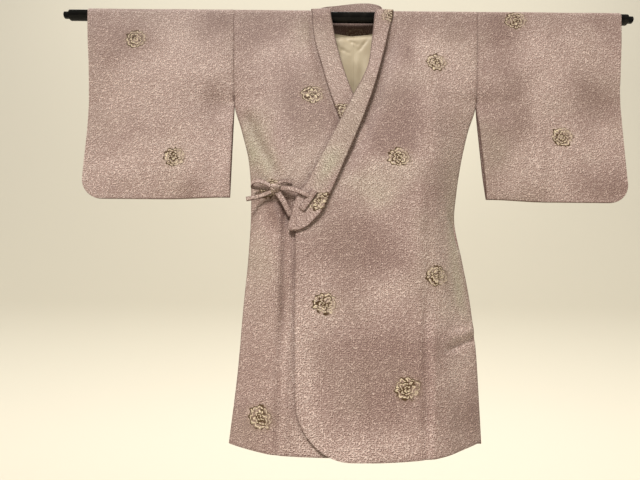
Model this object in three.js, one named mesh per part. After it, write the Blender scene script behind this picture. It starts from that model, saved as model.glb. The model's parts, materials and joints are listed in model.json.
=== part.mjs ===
// Women's kimono coat (dochugi), tied at its side and hanging on a lacquered rail.
// Millimetres. +X is to the right of someone who faces the coat, -Y is towards them, +Z is up.
// The origin is the middle of the rail's axis. Left and right in names are the wearer's, so the
// wearer's left is at +X, and the left front lies over the right one.
import * as THREE from 'three';

// ---------- Cloth and rail ----------

const SEAM = 0.3; // gap between two pieces that are sewn together or lie on each other
const CLOTH = 1.6; // lined silk
const COLLAR = 3; // silk folded over a collar core
const LINING = 1;
const STRAP = 2; // a tie, sewn as a flat tube

const RAIL_RADIUS = 13;
const RAIL_CLEARANCE = 0.9;
const RAIL_HALF = 684; // its thick part, from the middle
const RAIL_TIP = 14; // the thin tip at each end
const RAIL_TIP_RADIUS = 8.5;
const RAIL_SIDES = 24;

const CREST = RAIL_RADIUS + RAIL_CLEARANCE + CLOTH / 2; // middle of the cloth, from the rail's axis
const CREST_ARC = Math.PI * CREST; // cloth that lies over the rail
const MEET = (CLOTH + SEAM) / 2; // middle of a sheet, from the seam where it meets another
const COLLAR_EASE = 0.2; // how much further than a seam the collar clears the cloth under it
const ON_CLOTH = CLOTH / 2 + SEAM + COLLAR_EASE + COLLAR / 2; // middle of the collar, above the cloth's

const COLOURS = { silk: 0xa88f86, lining: 0xc9bb98, rail: 0x111111 };

// ---------- Tables ----------

// The body at heights below the rail: x of its two side edges, and y of the front's middle, of
// the side edges and of the back's middle. Open is half the gap between the front's and the
// back's side edge: the armhole, and below it the sewn side seam. Pleat is the depth of the
// back's soft folds.
const BODY = [
  { down: 0, rightEdge: -279, leftEdge: 314, front: -CREST, side: 0, open: CREST, back: CREST, pleat: 0 },
  { down: 60, rightEdge: -277, leftEdge: 310, front: -15.5, side: 0, open: 14, back: 16, pleat: 0 },
  { down: 150, rightEdge: -273, leftEdge: 305, front: -20, side: 0, open: 11, back: 22, pleat: 3 },
  { down: 200, rightEdge: -271, leftEdge: 302, front: -24, side: 0, open: 6.5, back: 27, pleat: 6 },
  { down: 235, rightEdge: -269, leftEdge: 299, front: -27, side: 0, open: MEET, back: 30, pleat: 9 },
  { down: 300, rightEdge: -250, leftEdge: 278, front: -33, side: 4, open: MEET, back: 35, pleat: 13 },
  { down: 380, rightEdge: -230, leftEdge: 258, front: -39, side: 8, open: MEET, back: 41, pleat: 17 },
  { down: 450, rightEdge: -223, leftEdge: 245, front: -42, side: 10, open: MEET, back: 45, pleat: 19 },
  { down: 515, rightEdge: -221, leftEdge: 237, front: -44, side: 10, open: MEET, back: 47, pleat: 20 },
  { down: 600, rightEdge: -223, leftEdge: 248, front: -47, side: 10, open: MEET, back: 49, pleat: 19 },
  { down: 720, rightEdge: -230, leftEdge: 263, front: -51, side: 11, open: MEET, back: 52, pleat: 17 },
  { down: 850, rightEdge: -236, leftEdge: 270, front: -55, side: 12, open: MEET, back: 55, pleat: 15 },
  { down: 1005, rightEdge: -249, leftEdge: 270, front: -60, side: 13, open: MEET, back: 58, pleat: 14 },
];

// How the fronts and the back end: the hem's greatest length, and its rise at the side edges.
const HEM = {
  left: { length: 1005, rise: 24 },
  right: { length: 998, rise: 11 },
  back: { length: 994, rise: 10 },
};
const HEM_CENTRE = 10; // x of the hem's lowest point
const HEM_HALF = 250; // distance from it that the rise is measured at
const HEM_STARTS = 300; // rows above this are level

// x of the soft upright folds where the fronts turn back towards the side seams, and how
// gently the cloth rounds into them.
const FRONT_FOLD = { left: 156, right: -148 };
const FOLD_ROUNDING = 1.35;
const CENTRE_BACK = 14; // x of the centre-back seam
// The back's soft folds: how many go across half of it, their uneven spacing, and where they start.
const BACK_FOLDS = { perHalf: 2.4, drift: 0.22, driftRate: 2.2, start: -0.06 };

// The collar's two edges on the left, upper leg. Seam is where it is sewn to the front, free is
// the edge at the neck.
const LEFT_LEG = [
  { down: 0, seam: 107, free: 64 },
  { down: 60, seam: 93, free: 57 },
  { down: 140, seam: 74, free: 46 },
  { down: 225, seam: 50, free: 10 },
  { down: 300, seam: 24, free: -25 },
  { down: 385, seam: -10, free: -66 },
  { down: 450, seam: -36, free: -97 },
  { down: 475, seam: -47, free: -114 },
  { down: 506, seam: -60, free: -124 },
  { down: 530, seam: -79, free: -129 },
  { down: 546, seam: -96, free: -135 },
  { down: 554, seam: -112, free: -131 },
];

// The same on the right leg, which passes under the left front.
const RIGHT_LEG = [
  { down: 0, seam: -89, free: -44 },
  { down: 55, seam: -85, free: -36 },
  { down: 140, seam: -65, free: -17 },
  { down: 225, seam: -42, free: 10 },
  { down: 300, seam: -16, free: 48 },
  { down: 385, seam: 18, free: 90 },
  { down: 450, seam: 44, free: 122 },
  { down: 475, seam: 55, free: 135 },
  { down: 506, seam: 68, free: 145 },
  { down: 530, seam: 87, free: 150 },
  { down: 546, seam: 105, free: 156 },
  { down: 554, seam: 122, free: 153 },
];

// The collar round the neck, from the right shoulder to the left one. Along is the distance that
// its seam edge has gone over the rail and down the back, seam is that edge's x, and free is the
// upper edge, which stands up behind the rail.
const BACK_DROP = 50; // the seam's depth at the centre back
const NECK_TURN = [
  { along: -CREST_ARC / 6, seam: -90, freeX: -43, freeY: -15.5, freeZ: 9 },
  { along: -CREST_ARC / 3, seam: -91, freeX: -45, freeY: -9, freeZ: 16 },
  { along: -CREST_ARC / 2, seam: -91, freeX: -50, freeY: 0, freeZ: 21 },
  { along: -CREST_ARC / 1.5, seam: -90, freeX: -58, freeY: 8, freeZ: 27 },
  { along: -CREST_ARC / 1.2, seam: -89, freeX: -66, freeY: 14, freeZ: 33 },
  { along: -CREST_ARC, seam: -87, freeX: -69, freeY: 19, freeZ: 39 },
  { along: -CREST_ARC - 14, seam: -80, freeX: -58, freeY: 21, freeZ: 44 },
  { along: -CREST_ARC - 36, seam: -55, freeX: -33, freeY: 23, freeZ: 49 },
  { along: -CREST_ARC - BACK_DROP, seam: 12, freeX: 8, freeY: 26, freeZ: 57 },
  { along: -CREST_ARC - 34, seam: 74, freeX: 40, freeY: 25, freeZ: 59 },
  { along: -CREST_ARC - 13, seam: 98, freeX: 65, freeY: 22, freeZ: 55 },
  { along: -CREST_ARC, seam: 105, freeX: 82, freeY: 18, freeZ: 46 },
  { along: -CREST_ARC / 1.2, seam: 108, freeX: 84, freeY: 13, freeZ: 38 },
  { along: -CREST_ARC / 1.5, seam: 109, freeX: 78, freeY: 7, freeZ: 29 },
  { along: -CREST_ARC / 2, seam: 109, freeX: 71, freeY: 0, freeZ: 22 },
  { along: -CREST_ARC / 3, seam: 109, freeX: 67, freeY: -9, freeZ: 16 },
  { along: -CREST_ARC / 6, seam: 108, freeX: 66, freeY: -15.5, freeZ: 9 },
];
const TUCK = 8; // cloth that runs in under the collar's seam edge
const COLLAR_END = 560; // below this the overlap panels show their whole width

// The neckline that is cut into the back, at heights below the rail.
const NECK_CUT = [
  { down: 0, right: -83, left: 101 },
  { down: 14, right: -76, left: 96 },
  { down: 27, right: -54, left: 76 },
  { down: 37, right: -22, left: 50 },
  { down: 42, right: CENTRE_BACK - SEAM / 2, left: CENTRE_BACK + SEAM / 2 },
];
const LINING_TOP = { centre: 42, slant: 0.1 }; // its upper edge drops towards the wearer's right

// The overlap panels: x of the seam to the front and of the free front edge, and the height
// where the panel starts, under the collar.
const OVERLAP_TOP = 300;
const OVERLAP_CORNER = 105; // radius of the rounded lower corner
const OVERLAP = {
  left: [
    { down: 283, seam: 31, edge: -117 },
    { down: 680, seam: 31, edge: -116 },
    { down: 1005, seam: 35, edge: -108 },
  ],
  right: [
    { down: 283, seam: -23, edge: 127 },
    { down: 680, seam: -14, edge: 132 },
    { down: 1005, seam: -6, edge: 139 },
  ],
};

// How far the left front lies out over the right one: it starts at a height below the rail, is
// full lower down, and fades towards the left side seam.
const OVER = { lift: 7, starts: 60, full: 200, ends: 228, fades: 48 };

// The sleeves: x of the inner and outer edges, and half the gap between front and back at the
// inner edge, in the middle and at the outer edge. The cuff is open down to the row where the
// outer gap closes. Swing is how far back the sleeve hangs.
const LEFT_SLEEVE = [
  { down: 0, inner: 314, outer: 671, gapInner: CREST, gapMiddle: CREST, gapOuter: CREST, swing: 0 },
  { down: 60, inner: 310, outer: 662, gapInner: 14, gapMiddle: 15, gapOuter: 14, swing: 1 },
  { down: 150, inner: 305, outer: 650, gapInner: 11, gapMiddle: 15, gapOuter: 9, swing: 4 },
  { down: 200, inner: 302, outer: 647, gapInner: 6.5, gapMiddle: 14, gapOuter: 3.5, swing: 6 },
  { down: 235, inner: 299, outer: 646, gapInner: MEET, gapMiddle: 13, gapOuter: MEET, swing: 8 },
  { down: 300, inner: 302, outer: 645, gapInner: 6, gapMiddle: 11, gapOuter: MEET, swing: 11 },
  { down: 400, inner: 306, outer: 646, gapInner: 6, gapMiddle: 7, gapOuter: MEET, swing: 15 },
  { down: 466, inner: 309, outer: 647, gapInner: MEET, gapMiddle: MEET, gapOuter: MEET, swing: 18 },
];
const RIGHT_SLEEVE = [
  { down: 0, inner: -279, outer: -642, gapInner: CREST, gapMiddle: CREST, gapOuter: CREST, swing: 0 },
  { down: 60, inner: -277, outer: -634, gapInner: 14, gapMiddle: 15, gapOuter: 14, swing: 1 },
  { down: 150, inner: -273, outer: -624, gapInner: 11, gapMiddle: 15, gapOuter: 9, swing: 4 },
  { down: 200, inner: -271, outer: -620, gapInner: 6.5, gapMiddle: 14, gapOuter: 3.5, swing: 6 },
  { down: 235, inner: -269, outer: -618, gapInner: MEET, gapMiddle: 13, gapOuter: MEET, swing: 8 },
  { down: 300, inner: -270, outer: -616, gapInner: 6, gapMiddle: 11, gapOuter: MEET, swing: 11 },
  { down: 400, inner: -270, outer: -616, gapInner: 6, gapMiddle: 7, gapOuter: MEET, swing: 15 },
  { down: 466, inner: -269, outer: -614, gapInner: MEET, gapMiddle: MEET, gapOuter: MEET, swing: 18 },
];
const SLEEVE_CORNER = 40; // radius of the rounded outer corner

// The ties, from the collar's end to the bow. Lift is the height above the right front.
const TIE_WIDTH = { tab: 15, upper: 11, lower: 13, tail: 10, stub: 8 };
const TIE_TAB = [
  { x: -77, down: 464, lift: 12.8 },
  { x: -91, down: 486, lift: 12.8 },
  { x: -105, down: 507, lift: 12.8 },
];
const TIE_UPPER = [
  { x: -90, down: 477, lift: 15.4 },
  { x: -104, down: 470, lift: 15.8 },
  { x: -124, down: 462, lift: 13 },
  { x: -141, down: 458, lift: 9 },
  { x: -151, down: 457, lift: 5.5 },
];
const TIE_LOWER = [
  { x: -127, down: 520, lift: 6.4 },
  { x: -135, down: 505, lift: 7 },
  { x: -144, down: 488, lift: 7.5 },
  { x: -158.3, down: 466.6, lift: 9 },
];
const TIE_TAIL = [
  { x: -172.2, down: 465.2, lift: 13 },
  { x: -191, down: 468, lift: 12 },
  { x: -210, down: 471, lift: 18 },
  { x: -229, down: 475, lift: 28 },
];
const TIE_STUB = [
  { x: -156.7, down: 446.3, lift: 8 },
  { x: -143, down: 441, lift: 6 },
  { x: -129, down: 444, lift: 5 },
];
// The bow's loop goes out over the side of the coat and comes back behind itself. The stations are
// its upper edge's. Its lower edge is a width below that, and leans out by the slope.
const LOOP = { width: 11, slope: 3 };
const TIE_LOOP = [
  { x: -174.4, down: 446, lift: 15 },
  { x: -190, down: 436, lift: 20 },
  { x: -206, down: 431, lift: 24 },
  { x: -217, down: 432, lift: 23 },
  { x: -220, down: 436, lift: 17 },
  { x: -211, down: 440, lift: 12 },
  { x: -193, down: 444, lift: 9 },
  { x: -174.5, down: 450, lift: 7 },
];
const KNOT = { x: -163, down: 457, lift: 11.2, wide: 11, tall: 10, deep: 8.5 };

// ---------- Curves and grids ----------

const clamp = (t) => Math.min(1, Math.max(0, t));
const mix = (a, b, t) => a + (b - a) * t;
const ease = (t) => clamp(t) ** 2 * (3 - 2 * clamp(t));
const count = (length) => Array.from({ length }, (_, i) => i);
const steps = (from, to, parts) => count(parts + 1).map((i) => mix(from, to, i / parts));

// A smooth curve through one column of a table, with no overshoot between its rows.
function curve(table, key, column) {
  const at = table.map((row) => row[key]);
  const value = table.map((row) => row[column]);
  const secant = at.slice(1).map((a, i) => (value[i + 1] - value[i]) / (a - at[i]));
  const slope = value.map((_, i) => {
    const before = secant[i - 1] ?? secant[i];
    const after = secant[i] ?? secant[i - 1];
    return before * after > 0 ? (2 * before * after) / (before + after) : 0;
  });
  return (where) => {
    const found = at.findIndex((a) => where <= a);
    const i = found < 0 ? at.length - 2 : Math.max(found - 1, 0);
    const span = at[i + 1] - at[i];
    const t = clamp((where - at[i]) / span);
    const bend = t * t * (3 - 2 * t);
    return mix(value[i], value[i + 1], bend)
      + span * (slope[i] * t * (1 - t) ** 2 - slope[i + 1] * t * t * (1 - t));
  };
}

// Every column of a table as a curve over its first column.
function curves(table) {
  const [key, ...columns] = Object.keys(table[0]);
  return Object.fromEntries(columns.map((column) => [column, curve(table, key, column)]));
}

// A closed wall between two grids of points that have the same rows and columns.
function wallBetween(outer, inner) {
  const rows = outer.length;
  const columns = outer[0].length;
  const points = [...outer.flat(), ...inner.flat()];
  const id = (layer, row, column) => layer * rows * columns + row * columns + column;
  const faces = [];
  const quad = (a, b, c, d) => faces.push([a, b, c], [a, c, d]);
  for (let r = 0; r + 1 < rows; r += 1) {
    for (let c = 0; c + 1 < columns; c += 1) {
      quad(id(0, r, c), id(0, r, c + 1), id(0, r + 1, c + 1), id(0, r + 1, c));
      faces.push([id(1, r, c), id(1, r + 1, c + 1), id(1, r, c + 1)]);
      faces.push([id(1, r, c), id(1, r + 1, c), id(1, r + 1, c + 1)]);
    }
  }
  const rim = [
    ...count(columns).map((c) => [0, c]),
    ...count(rows).slice(1).map((r) => [r, columns - 1]),
    ...count(columns - 1).toReversed().map((c) => [rows - 1, c]),
    ...count(rows - 1).toReversed().map((r) => [r, 0]),
  ];
  for (let i = 0; i + 1 < rim.length; i += 1) {
    const [from, to] = [rim[i], rim[i + 1]];
    quad(id(0, ...to), id(0, ...from), id(1, ...from), id(1, ...to));
  }
  return solidGeometry(points, faces);
}

// A geometry whose faces point out, whichever way round its grid was made.
function solidGeometry(points, faces) {
  const corner = new THREE.Vector3();
  const volume = faces.reduce((sum, [a, b, c]) => (
    sum + points[a].dot(corner.crossVectors(points[b], points[c]))
  ), 0);
  const outward = volume > 0 ? faces : faces.map(([a, b, c]) => [a, c, b]);
  const geometry = new THREE.BufferGeometry().setFromPoints(points);
  geometry.setIndex(outward.flat());
  geometry.computeVertexNormals();
  return geometry;
}

// A wall of cloth from a function that gives its points at any lift off the middle sheet.
function clothWall(rows, columns, thickness, pointAt) {
  const sheet = (lift) => rows.map((row) => columns.map((column) => pointAt(row, column, lift)));
  return wallBetween(sheet(thickness / 2), sheet(-thickness / 2));
}

// A wall made by thickening a grid of points both ways along its own normals.
function thickened(grid, thickness) {
  const rows = grid.length;
  const columns = grid[0].length;
  const normalAt = (r, c) => {
    const along = grid[Math.min(r + 1, rows - 1)][c].clone().sub(grid[Math.max(r - 1, 0)][c]);
    const across = grid[r][Math.min(c + 1, columns - 1)].clone().sub(grid[r][Math.max(c - 1, 0)]);
    return along.cross(across).normalize();
  };
  const moved = (distance) => grid.map((row, r) => (
    row.map((point, c) => point.clone().addScaledVector(normalAt(r, c), distance))
  ));
  return wallBetween(moved(thickness / 2), moved(-thickness / 2));
}

function piece(name, colour, geometry, roughness = 0.6) {
  const material = new THREE.MeshStandardMaterial({ color: colour, roughness, metalness: 0 });
  const mesh = new THREE.Mesh(geometry, material);
  mesh.name = name;
  return mesh;
}

// ---------- The coat's surface ----------

const body = curves(BODY);
const leg = { left: curves(LEFT_LEG), right: curves(RIGHT_LEG) };
const overlap = { left: curves(OVERLAP.left), right: curves(OVERLAP.right) };
const neckCut = curves(NECK_CUT);
const sideEdge = { left: body.leftEdge, right: body.rightEdge };
const TOWARDS_NECK = { left: -1, right: 1 }; // the way from a side towards the middle, along X

// y of the fronts' sheet: flat between the two soft folds, then back to the side edges.
function frontY(x, down) {
  const side = x < 0 ? 'right' : 'left';
  const fold = FRONT_FOLD[side];
  const turned = clamp((x - fold) / (sideEdge[side](down) - fold)) ** FOLD_ROUNDING;
  return mix(body.front(down), body.side(down) - body.open(down), turned);
}

// y of the back's sheet: bowed out behind, in soft upright folds that follow the side edges.
function backY(x, down) {
  const middle = (body.leftEdge(down) + body.rightEdge(down)) / 2;
  const half = (body.leftEdge(down) - body.rightEdge(down)) / 2;
  const share = (x - middle) / half;
  const bow = 1 - Math.abs(share) ** 3;
  const { perHalf, drift, driftRate, start } = BACK_FOLDS;
  const fold = Math.cos(2 * Math.PI * (perHalf * share + drift * Math.sin(driftRate * share) + start));
  return mix(body.side(down) + body.open(down), body.back(down), bow) + body.pleat(down) * bow * fold;
}

// z of a row, which rises towards the side edges as it nears the hem.
function rowZ(x, down, hem) {
  const near = ease((down - HEM_STARTS) / (hem.length - HEM_STARTS));
  return -(down - hem.rise * ((x - HEM_CENTRE) / HEM_HALF) ** 2 * near);
}

function overLift(x, down) {
  const risen = ease((down - OVER.starts) / (OVER.full - OVER.starts));
  return OVER.lift * risen * ease((OVER.ends - x) / OVER.fades);
}

// A point of the coat. Along is the distance down the front, and below zero it goes over the
// rail and then down the back. Lift is how far the point is moved out from the cloth's middle.
function coatPoint(side, x, along, lift) {
  if (along >= 0) {
    const over = side === 'left' ? overLift(x, along) : 0;
    return new THREE.Vector3(x, frontY(x, along) - over - lift, rowZ(x, along, HEM[side]));
  }
  if (along > -CREST_ARC) {
    const angle = -along / CREST;
    const radius = CREST + lift;
    return new THREE.Vector3(x, -radius * Math.cos(angle), radius * Math.sin(angle));
  }
  const down = -along - CREST_ARC;
  return new THREE.Vector3(x, backY(x, down) + lift, rowZ(x, down, HEM.back));
}

// ---------- Body panels ----------

const SHOULDER_ROWS = [235, 200, 150, 100, 60, 30, 0]; // shared with the sleeves, which meet them
const CREST_ROWS = steps(0, -CREST_ARC, 6).slice(1);
const FRONT_ROWS = [960, 900, 850, 790, 720, 660, 600, 550, 515, 480, 450, 415, 380, 340, 300, 283, 270, 252];
const OVERLAP_ROWS = [340, 380, 415, 450, 480, 515, 550, 600, 660, 720, 790, 850];
const BACK_ROWS = [14, 27, 37, 42, 65, 100, 150, 200, 235, 265, 300, 340, 380, 450, 515, 600, 720, 850, 930];

const LINING_ROWS = [LINING_TOP.centre, ...BACK_ROWS.slice(4, 10)];
const BODY_COLUMNS = steps(0, 1, 10);

// x of a body panel's inner edge: under the collar, then at the overlap panel's seam, and on
// the back at the neckline and the centre-back seam.
function bodyInnerX(side, along) {
  const inwards = TOWARDS_NECK[side];
  if (along > OVERLAP_TOP - 15) return overlap[side].seam(along) - inwards * SEAM / 2;
  if (along >= 0) return leg[side].seam(along) + inwards * TUCK;
  return neckCut[side](Math.max(0, -along - CREST_ARC));
}

function bodyPanel(side) {
  const rows = [
    HEM[side].length, ...FRONT_ROWS, ...SHOULDER_ROWS, ...CREST_ROWS,
    ...BACK_ROWS.map((down) => -CREST_ARC - down), -CREST_ARC - HEM.back.length,
  ];
  return clothWall(rows, BODY_COLUMNS, CLOTH, (along, share, lift) => {
    const down = along >= 0 ? along : Math.max(0, -along - CREST_ARC);
    const x = mix(bodyInnerX(side, along), sideEdge[side](down), share);
    return coatPoint(side, x, along, lift);
  });
}

// An overlap panel: narrow at its top under the collar, then straight to its rounded corner.
function overlapPanel(side) {
  const inwards = TOWARDS_NECK[side];
  const { length } = HEM[side];
  const cornerTop = length - OVERLAP_CORNER;
  const cornerRows = steps(0, Math.PI / 2, 6).map((angle) => cornerTop + OVERLAP_CORNER * Math.sin(angle));
  const rows = [OVERLAP_TOP, ...OVERLAP_ROWS, ...cornerRows];
  return clothWall(rows, steps(0, 1, 5), CLOTH, (down, share, lift) => {
    const seam = overlap[side].seam(down) + inwards * SEAM / 2;
    const underCollar = leg[side].seam(down) + inwards * TUCK;
    const past = clamp((down - cornerTop) / OVERLAP_CORNER);
    const cut = OVERLAP_CORNER * (1 - Math.sqrt(1 - past ** 2));
    const edge = overlap[side].edge(down) - inwards * cut;
    const reach = down < COLLAR_END ? Math.min(inwards * underCollar, inwards * edge) : inwards * edge;
    return coatPoint(side, mix(seam, inwards * reach, share), down, lift);
  });
}

// Half of the lining where the neck shows it, on the inside of the back. It has the back's own
// rows and columns, so it follows the soft folds.
function neckLining(side) {
  const rows = LINING_ROWS.map((down) => -CREST_ARC - down);
  const middle = -(CLOTH / 2 + SEAM + LINING / 2);
  return clothWall(rows, BODY_COLUMNS.slice(0, 5), LINING, (along, share, lift) => {
    const x = mix(bodyInnerX(side, along), sideEdge[side](-along - CREST_ARC), share);
    const slant = along === rows[0] ? LINING_TOP.slant * (x - CENTRE_BACK) : 0;
    return coatPoint(side, x, along + slant, middle + lift);
  });
}

// ---------- Collar ----------

// One band, from the end of the right leg up over the shoulder, round the neck and down again.
function collarBand() {
  const legRows = [554, 546, 530, 506, 475, 450, 415, 380, 340, 300, 270, 225, 180, 140, 100, 60, 30, 0];
  const across = steps(0, 1, 3);
  const legRow = (side, down) => across.map((share) => (
    coatPoint(side, mix(leg[side].seam(down), leg[side].free(down), share), down, ON_CLOTH)
  ));
  const turnRow = ({ along, seam, freeX, freeY, freeZ }) => {
    const foot = coatPoint('right', seam, along, ON_CLOTH);
    const top = new THREE.Vector3(freeX, freeY, freeZ);
    return across.map((share) => foot.clone().lerp(top, share));
  };
  const grid = [
    ...legRows.map((down) => legRow('right', down)),
    ...NECK_TURN.map(turnRow),
    ...legRows.toReversed().map((down) => legRow('left', down)),
  ];
  return thickened(grid, COLLAR);
}

// ---------- Sleeves ----------

// A sleeve is one length of cloth folded over the rail. Its two sheets meet at the bottom and
// below the cuff, and its inner edge is free below the armhole.
function sleeve(side, table) {
  const shape = curves(table);
  const bottom = table.at(-1).down;
  const cornerTop = bottom - SLEEVE_CORNER;
  const cornerRows = steps(Math.PI / 2, 0, 4).map((angle) => cornerTop + SLEEVE_CORNER * Math.sin(angle));
  const down = [...cornerRows, 400, 350, 300, 265, ...SHOULDER_ROWS];
  const back = down.toReversed().slice(1).map((row) => -CREST_ARC - row);
  const inwards = TOWARDS_NECK[side];
  return clothWall([...down, ...CREST_ROWS, ...back], steps(0, 1, 7), CLOTH, (along, share, lift) => {
    const onFront = along >= 0;
    const row = onFront ? along : Math.max(0, -along - CREST_ARC);
    const past = clamp((row - cornerTop) / SLEEVE_CORNER);
    const cut = SLEEVE_CORNER * (1 - Math.sqrt(1 - past ** 2));
    const outer = shape.outer(row) + inwards * cut;
    const x = mix(shape.inner(row) - inwards * SEAM, outer, share);
    if (!onFront && along > -CREST_ARC) return coatPoint(side, x, along, lift);
    const gap = share < 0.5
      ? mix(shape.gapInner(row), shape.gapMiddle(row), ease(share / 0.4))
      : mix(shape.gapMiddle(row), shape.gapOuter(row), ease((share - 0.5) / 0.5));
    const hang = shape.swing(row) * ease(share / 0.5);
    const y = hang + (onFront ? -1 : 1) * (gap + lift);
    return new THREE.Vector3(x, y, -row);
  });
}

// ---------- Ties ----------

function tiePoint({ x, down, lift }) {
  return new THREE.Vector3(x, frontY(x, down) - lift, rowZ(x, down, HEM.right));
}

// A flat strap along a row of stations, facing the front.
function strap(stations, width) {
  const spine = new THREE.CatmullRomCurve3(stations.map(tiePoint)).getPoints(3 * (stations.length - 1));
  const grid = spine.map((point, i) => {
    const ahead = spine[Math.min(i + 1, spine.length - 1)];
    const behind = spine[Math.max(i - 1, 0)];
    const across = new THREE.Vector3(ahead.z - behind.z, 0, behind.x - ahead.x).setLength(width / 2);
    return [point.clone().add(across), point.clone(), point.clone().sub(across)];
  });
  return thickened(grid, STRAP);
}

// The bow's loop: a strap bent back on itself, with its width upright.
function bowLoop() {
  const upper = new THREE.CatmullRomCurve3(TIE_LOOP.map(tiePoint)).getPoints(21);
  const across = new THREE.Vector3(0, -LOOP.slope, -LOOP.width);
  return thickened(upper.map((point) => [point, point.clone().add(across)]), STRAP);
}

function bowKnot() {
  const ball = new THREE.SphereGeometry(1, 12, 8);
  ball.scale(KNOT.wide, KNOT.deep, KNOT.tall);
  const centre = tiePoint(KNOT);
  return ball.translate(centre.x, centre.y, centre.z);
}

// ---------- Rail ----------

function rail() {
  const tip = RAIL_HALF + RAIL_TIP;
  const profile = [
    [0, -tip], [RAIL_TIP_RADIUS, -tip], [RAIL_TIP_RADIUS, -RAIL_HALF], [RAIL_RADIUS, -RAIL_HALF],
    [RAIL_RADIUS, RAIL_HALF], [RAIL_TIP_RADIUS, RAIL_HALF], [RAIL_TIP_RADIUS, tip], [0, tip],
  ].map(([radius, length]) => new THREE.Vector2(radius, length));
  return new THREE.LatheGeometry(profile, RAIL_SIDES).rotateZ(-Math.PI / 2);
}

// ---------- The coat on its rail ----------

const coat = new THREE.Group();
coat.add(
  piece('rail', COLOURS.rail, rail(), 0.2),
  piece('body_left', COLOURS.silk, bodyPanel('left')),
  piece('body_right', COLOURS.silk, bodyPanel('right')),
  piece('overlap_left', COLOURS.silk, overlapPanel('left')),
  piece('overlap_right', COLOURS.silk, overlapPanel('right')),
  piece('sleeve_left', COLOURS.silk, sleeve('left', LEFT_SLEEVE)),
  piece('sleeve_right', COLOURS.silk, sleeve('right', RIGHT_SLEEVE)),
  piece('collar', COLOURS.silk, collarBand()),
  piece('lining_left', COLOURS.lining, neckLining('left')),
  piece('lining_right', COLOURS.lining, neckLining('right')),
  piece('tie_tab', COLOURS.silk, strap(TIE_TAB, TIE_WIDTH.tab)),
  piece('tie_upper', COLOURS.silk, strap(TIE_UPPER, TIE_WIDTH.upper)),
  piece('tie_lower', COLOURS.silk, strap(TIE_LOWER, TIE_WIDTH.lower)),
  piece('tie_knot', COLOURS.silk, bowKnot()),
  piece('tie_loop', COLOURS.silk, bowLoop()),
  piece('tie_tail', COLOURS.silk, strap(TIE_TAIL, TIE_WIDTH.tail)),
  piece('tie_stub', COLOURS.silk, strap(TIE_STUB, TIE_WIDTH.stub)),
);

export default coat;
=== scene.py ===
"""The looks of a women's kimono coat (dochugi) on its lacquered rail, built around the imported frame.

The tables are in millimetres, in the frame's own directions: +X is the wearer's left, -Y is towards
someone who faces the coat, +Z is up, and the origin is the middle of the rail's axis. Down is a
distance below the rail. Along is a place on the cloth: the way down the front, and below zero over
the rail and down the back.
"""
import json
import math
from functools import partial, reduce
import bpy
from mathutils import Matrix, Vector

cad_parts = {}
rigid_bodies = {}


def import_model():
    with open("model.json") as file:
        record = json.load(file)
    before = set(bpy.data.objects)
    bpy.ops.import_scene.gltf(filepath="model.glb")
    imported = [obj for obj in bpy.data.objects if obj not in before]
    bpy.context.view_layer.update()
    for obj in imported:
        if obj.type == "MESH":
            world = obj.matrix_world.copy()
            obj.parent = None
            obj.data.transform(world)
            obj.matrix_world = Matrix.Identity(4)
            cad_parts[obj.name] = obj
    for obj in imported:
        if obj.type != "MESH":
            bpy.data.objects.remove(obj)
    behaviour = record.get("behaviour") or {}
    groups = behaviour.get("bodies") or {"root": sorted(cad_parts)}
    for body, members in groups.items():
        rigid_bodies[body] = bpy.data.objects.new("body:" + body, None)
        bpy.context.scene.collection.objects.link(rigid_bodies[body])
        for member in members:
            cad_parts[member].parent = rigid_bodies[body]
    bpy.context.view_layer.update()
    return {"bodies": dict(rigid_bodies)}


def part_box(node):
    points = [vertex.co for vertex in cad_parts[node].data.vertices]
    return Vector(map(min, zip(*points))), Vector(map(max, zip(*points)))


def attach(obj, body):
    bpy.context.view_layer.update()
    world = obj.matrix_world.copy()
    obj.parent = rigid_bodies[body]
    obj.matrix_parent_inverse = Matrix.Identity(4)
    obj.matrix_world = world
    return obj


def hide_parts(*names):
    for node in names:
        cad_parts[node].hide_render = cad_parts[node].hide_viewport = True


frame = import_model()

from types import SimpleNamespace as Named

import bpy
import numpy as np
from mathutils import Matrix, Vector

BODY = next(iter(frame["bodies"]))
MM = 0.001

# --- Cloth and rail ---

SEAM = 0.3  # gap between two pieces that are sewn together or lie on each other
CLOTH = 1.6  # lined silk
COLLAR = 3.0  # silk folded over a collar core
LINING = 1.0
STRAP = 2.0
RAIL_END, _, RAIL_RADIUS = np.array(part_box("rail")[1]) / MM
RAIL_CLEARANCE = 0.9
CREST = RAIL_RADIUS + RAIL_CLEARANCE + CLOTH / 2  # middle of the cloth, from the rail's axis
CREST_ARC = math.pi * CREST  # cloth that lies over the rail
MEET = (CLOTH + SEAM) / 2  # middle of a sheet, from the seam where it meets another
COLLAR_EASE = 0.2
ON_CLOTH = CLOTH / 2 + SEAM + COLLAR_EASE + COLLAR / 2  # middle of the collar, above the cloth's


# --- Curves ---

def mix(a, b, t):
    return a + (b - a) * t


def ease(t):
    t = np.clip(t, 0, 1)
    return t * t * (3 - 2 * t)


def ramp(value, start, end):
    """0 at the start, 1 at the end, with a smooth change between."""
    return ease((value - start) / (end - start))


def bell(distance, width):
    """1 at no distance, and near 0 at twice the width."""
    return np.exp(-(distance / width) ** 2)


def strongest(*layers):
    return reduce(np.maximum, layers)


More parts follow.
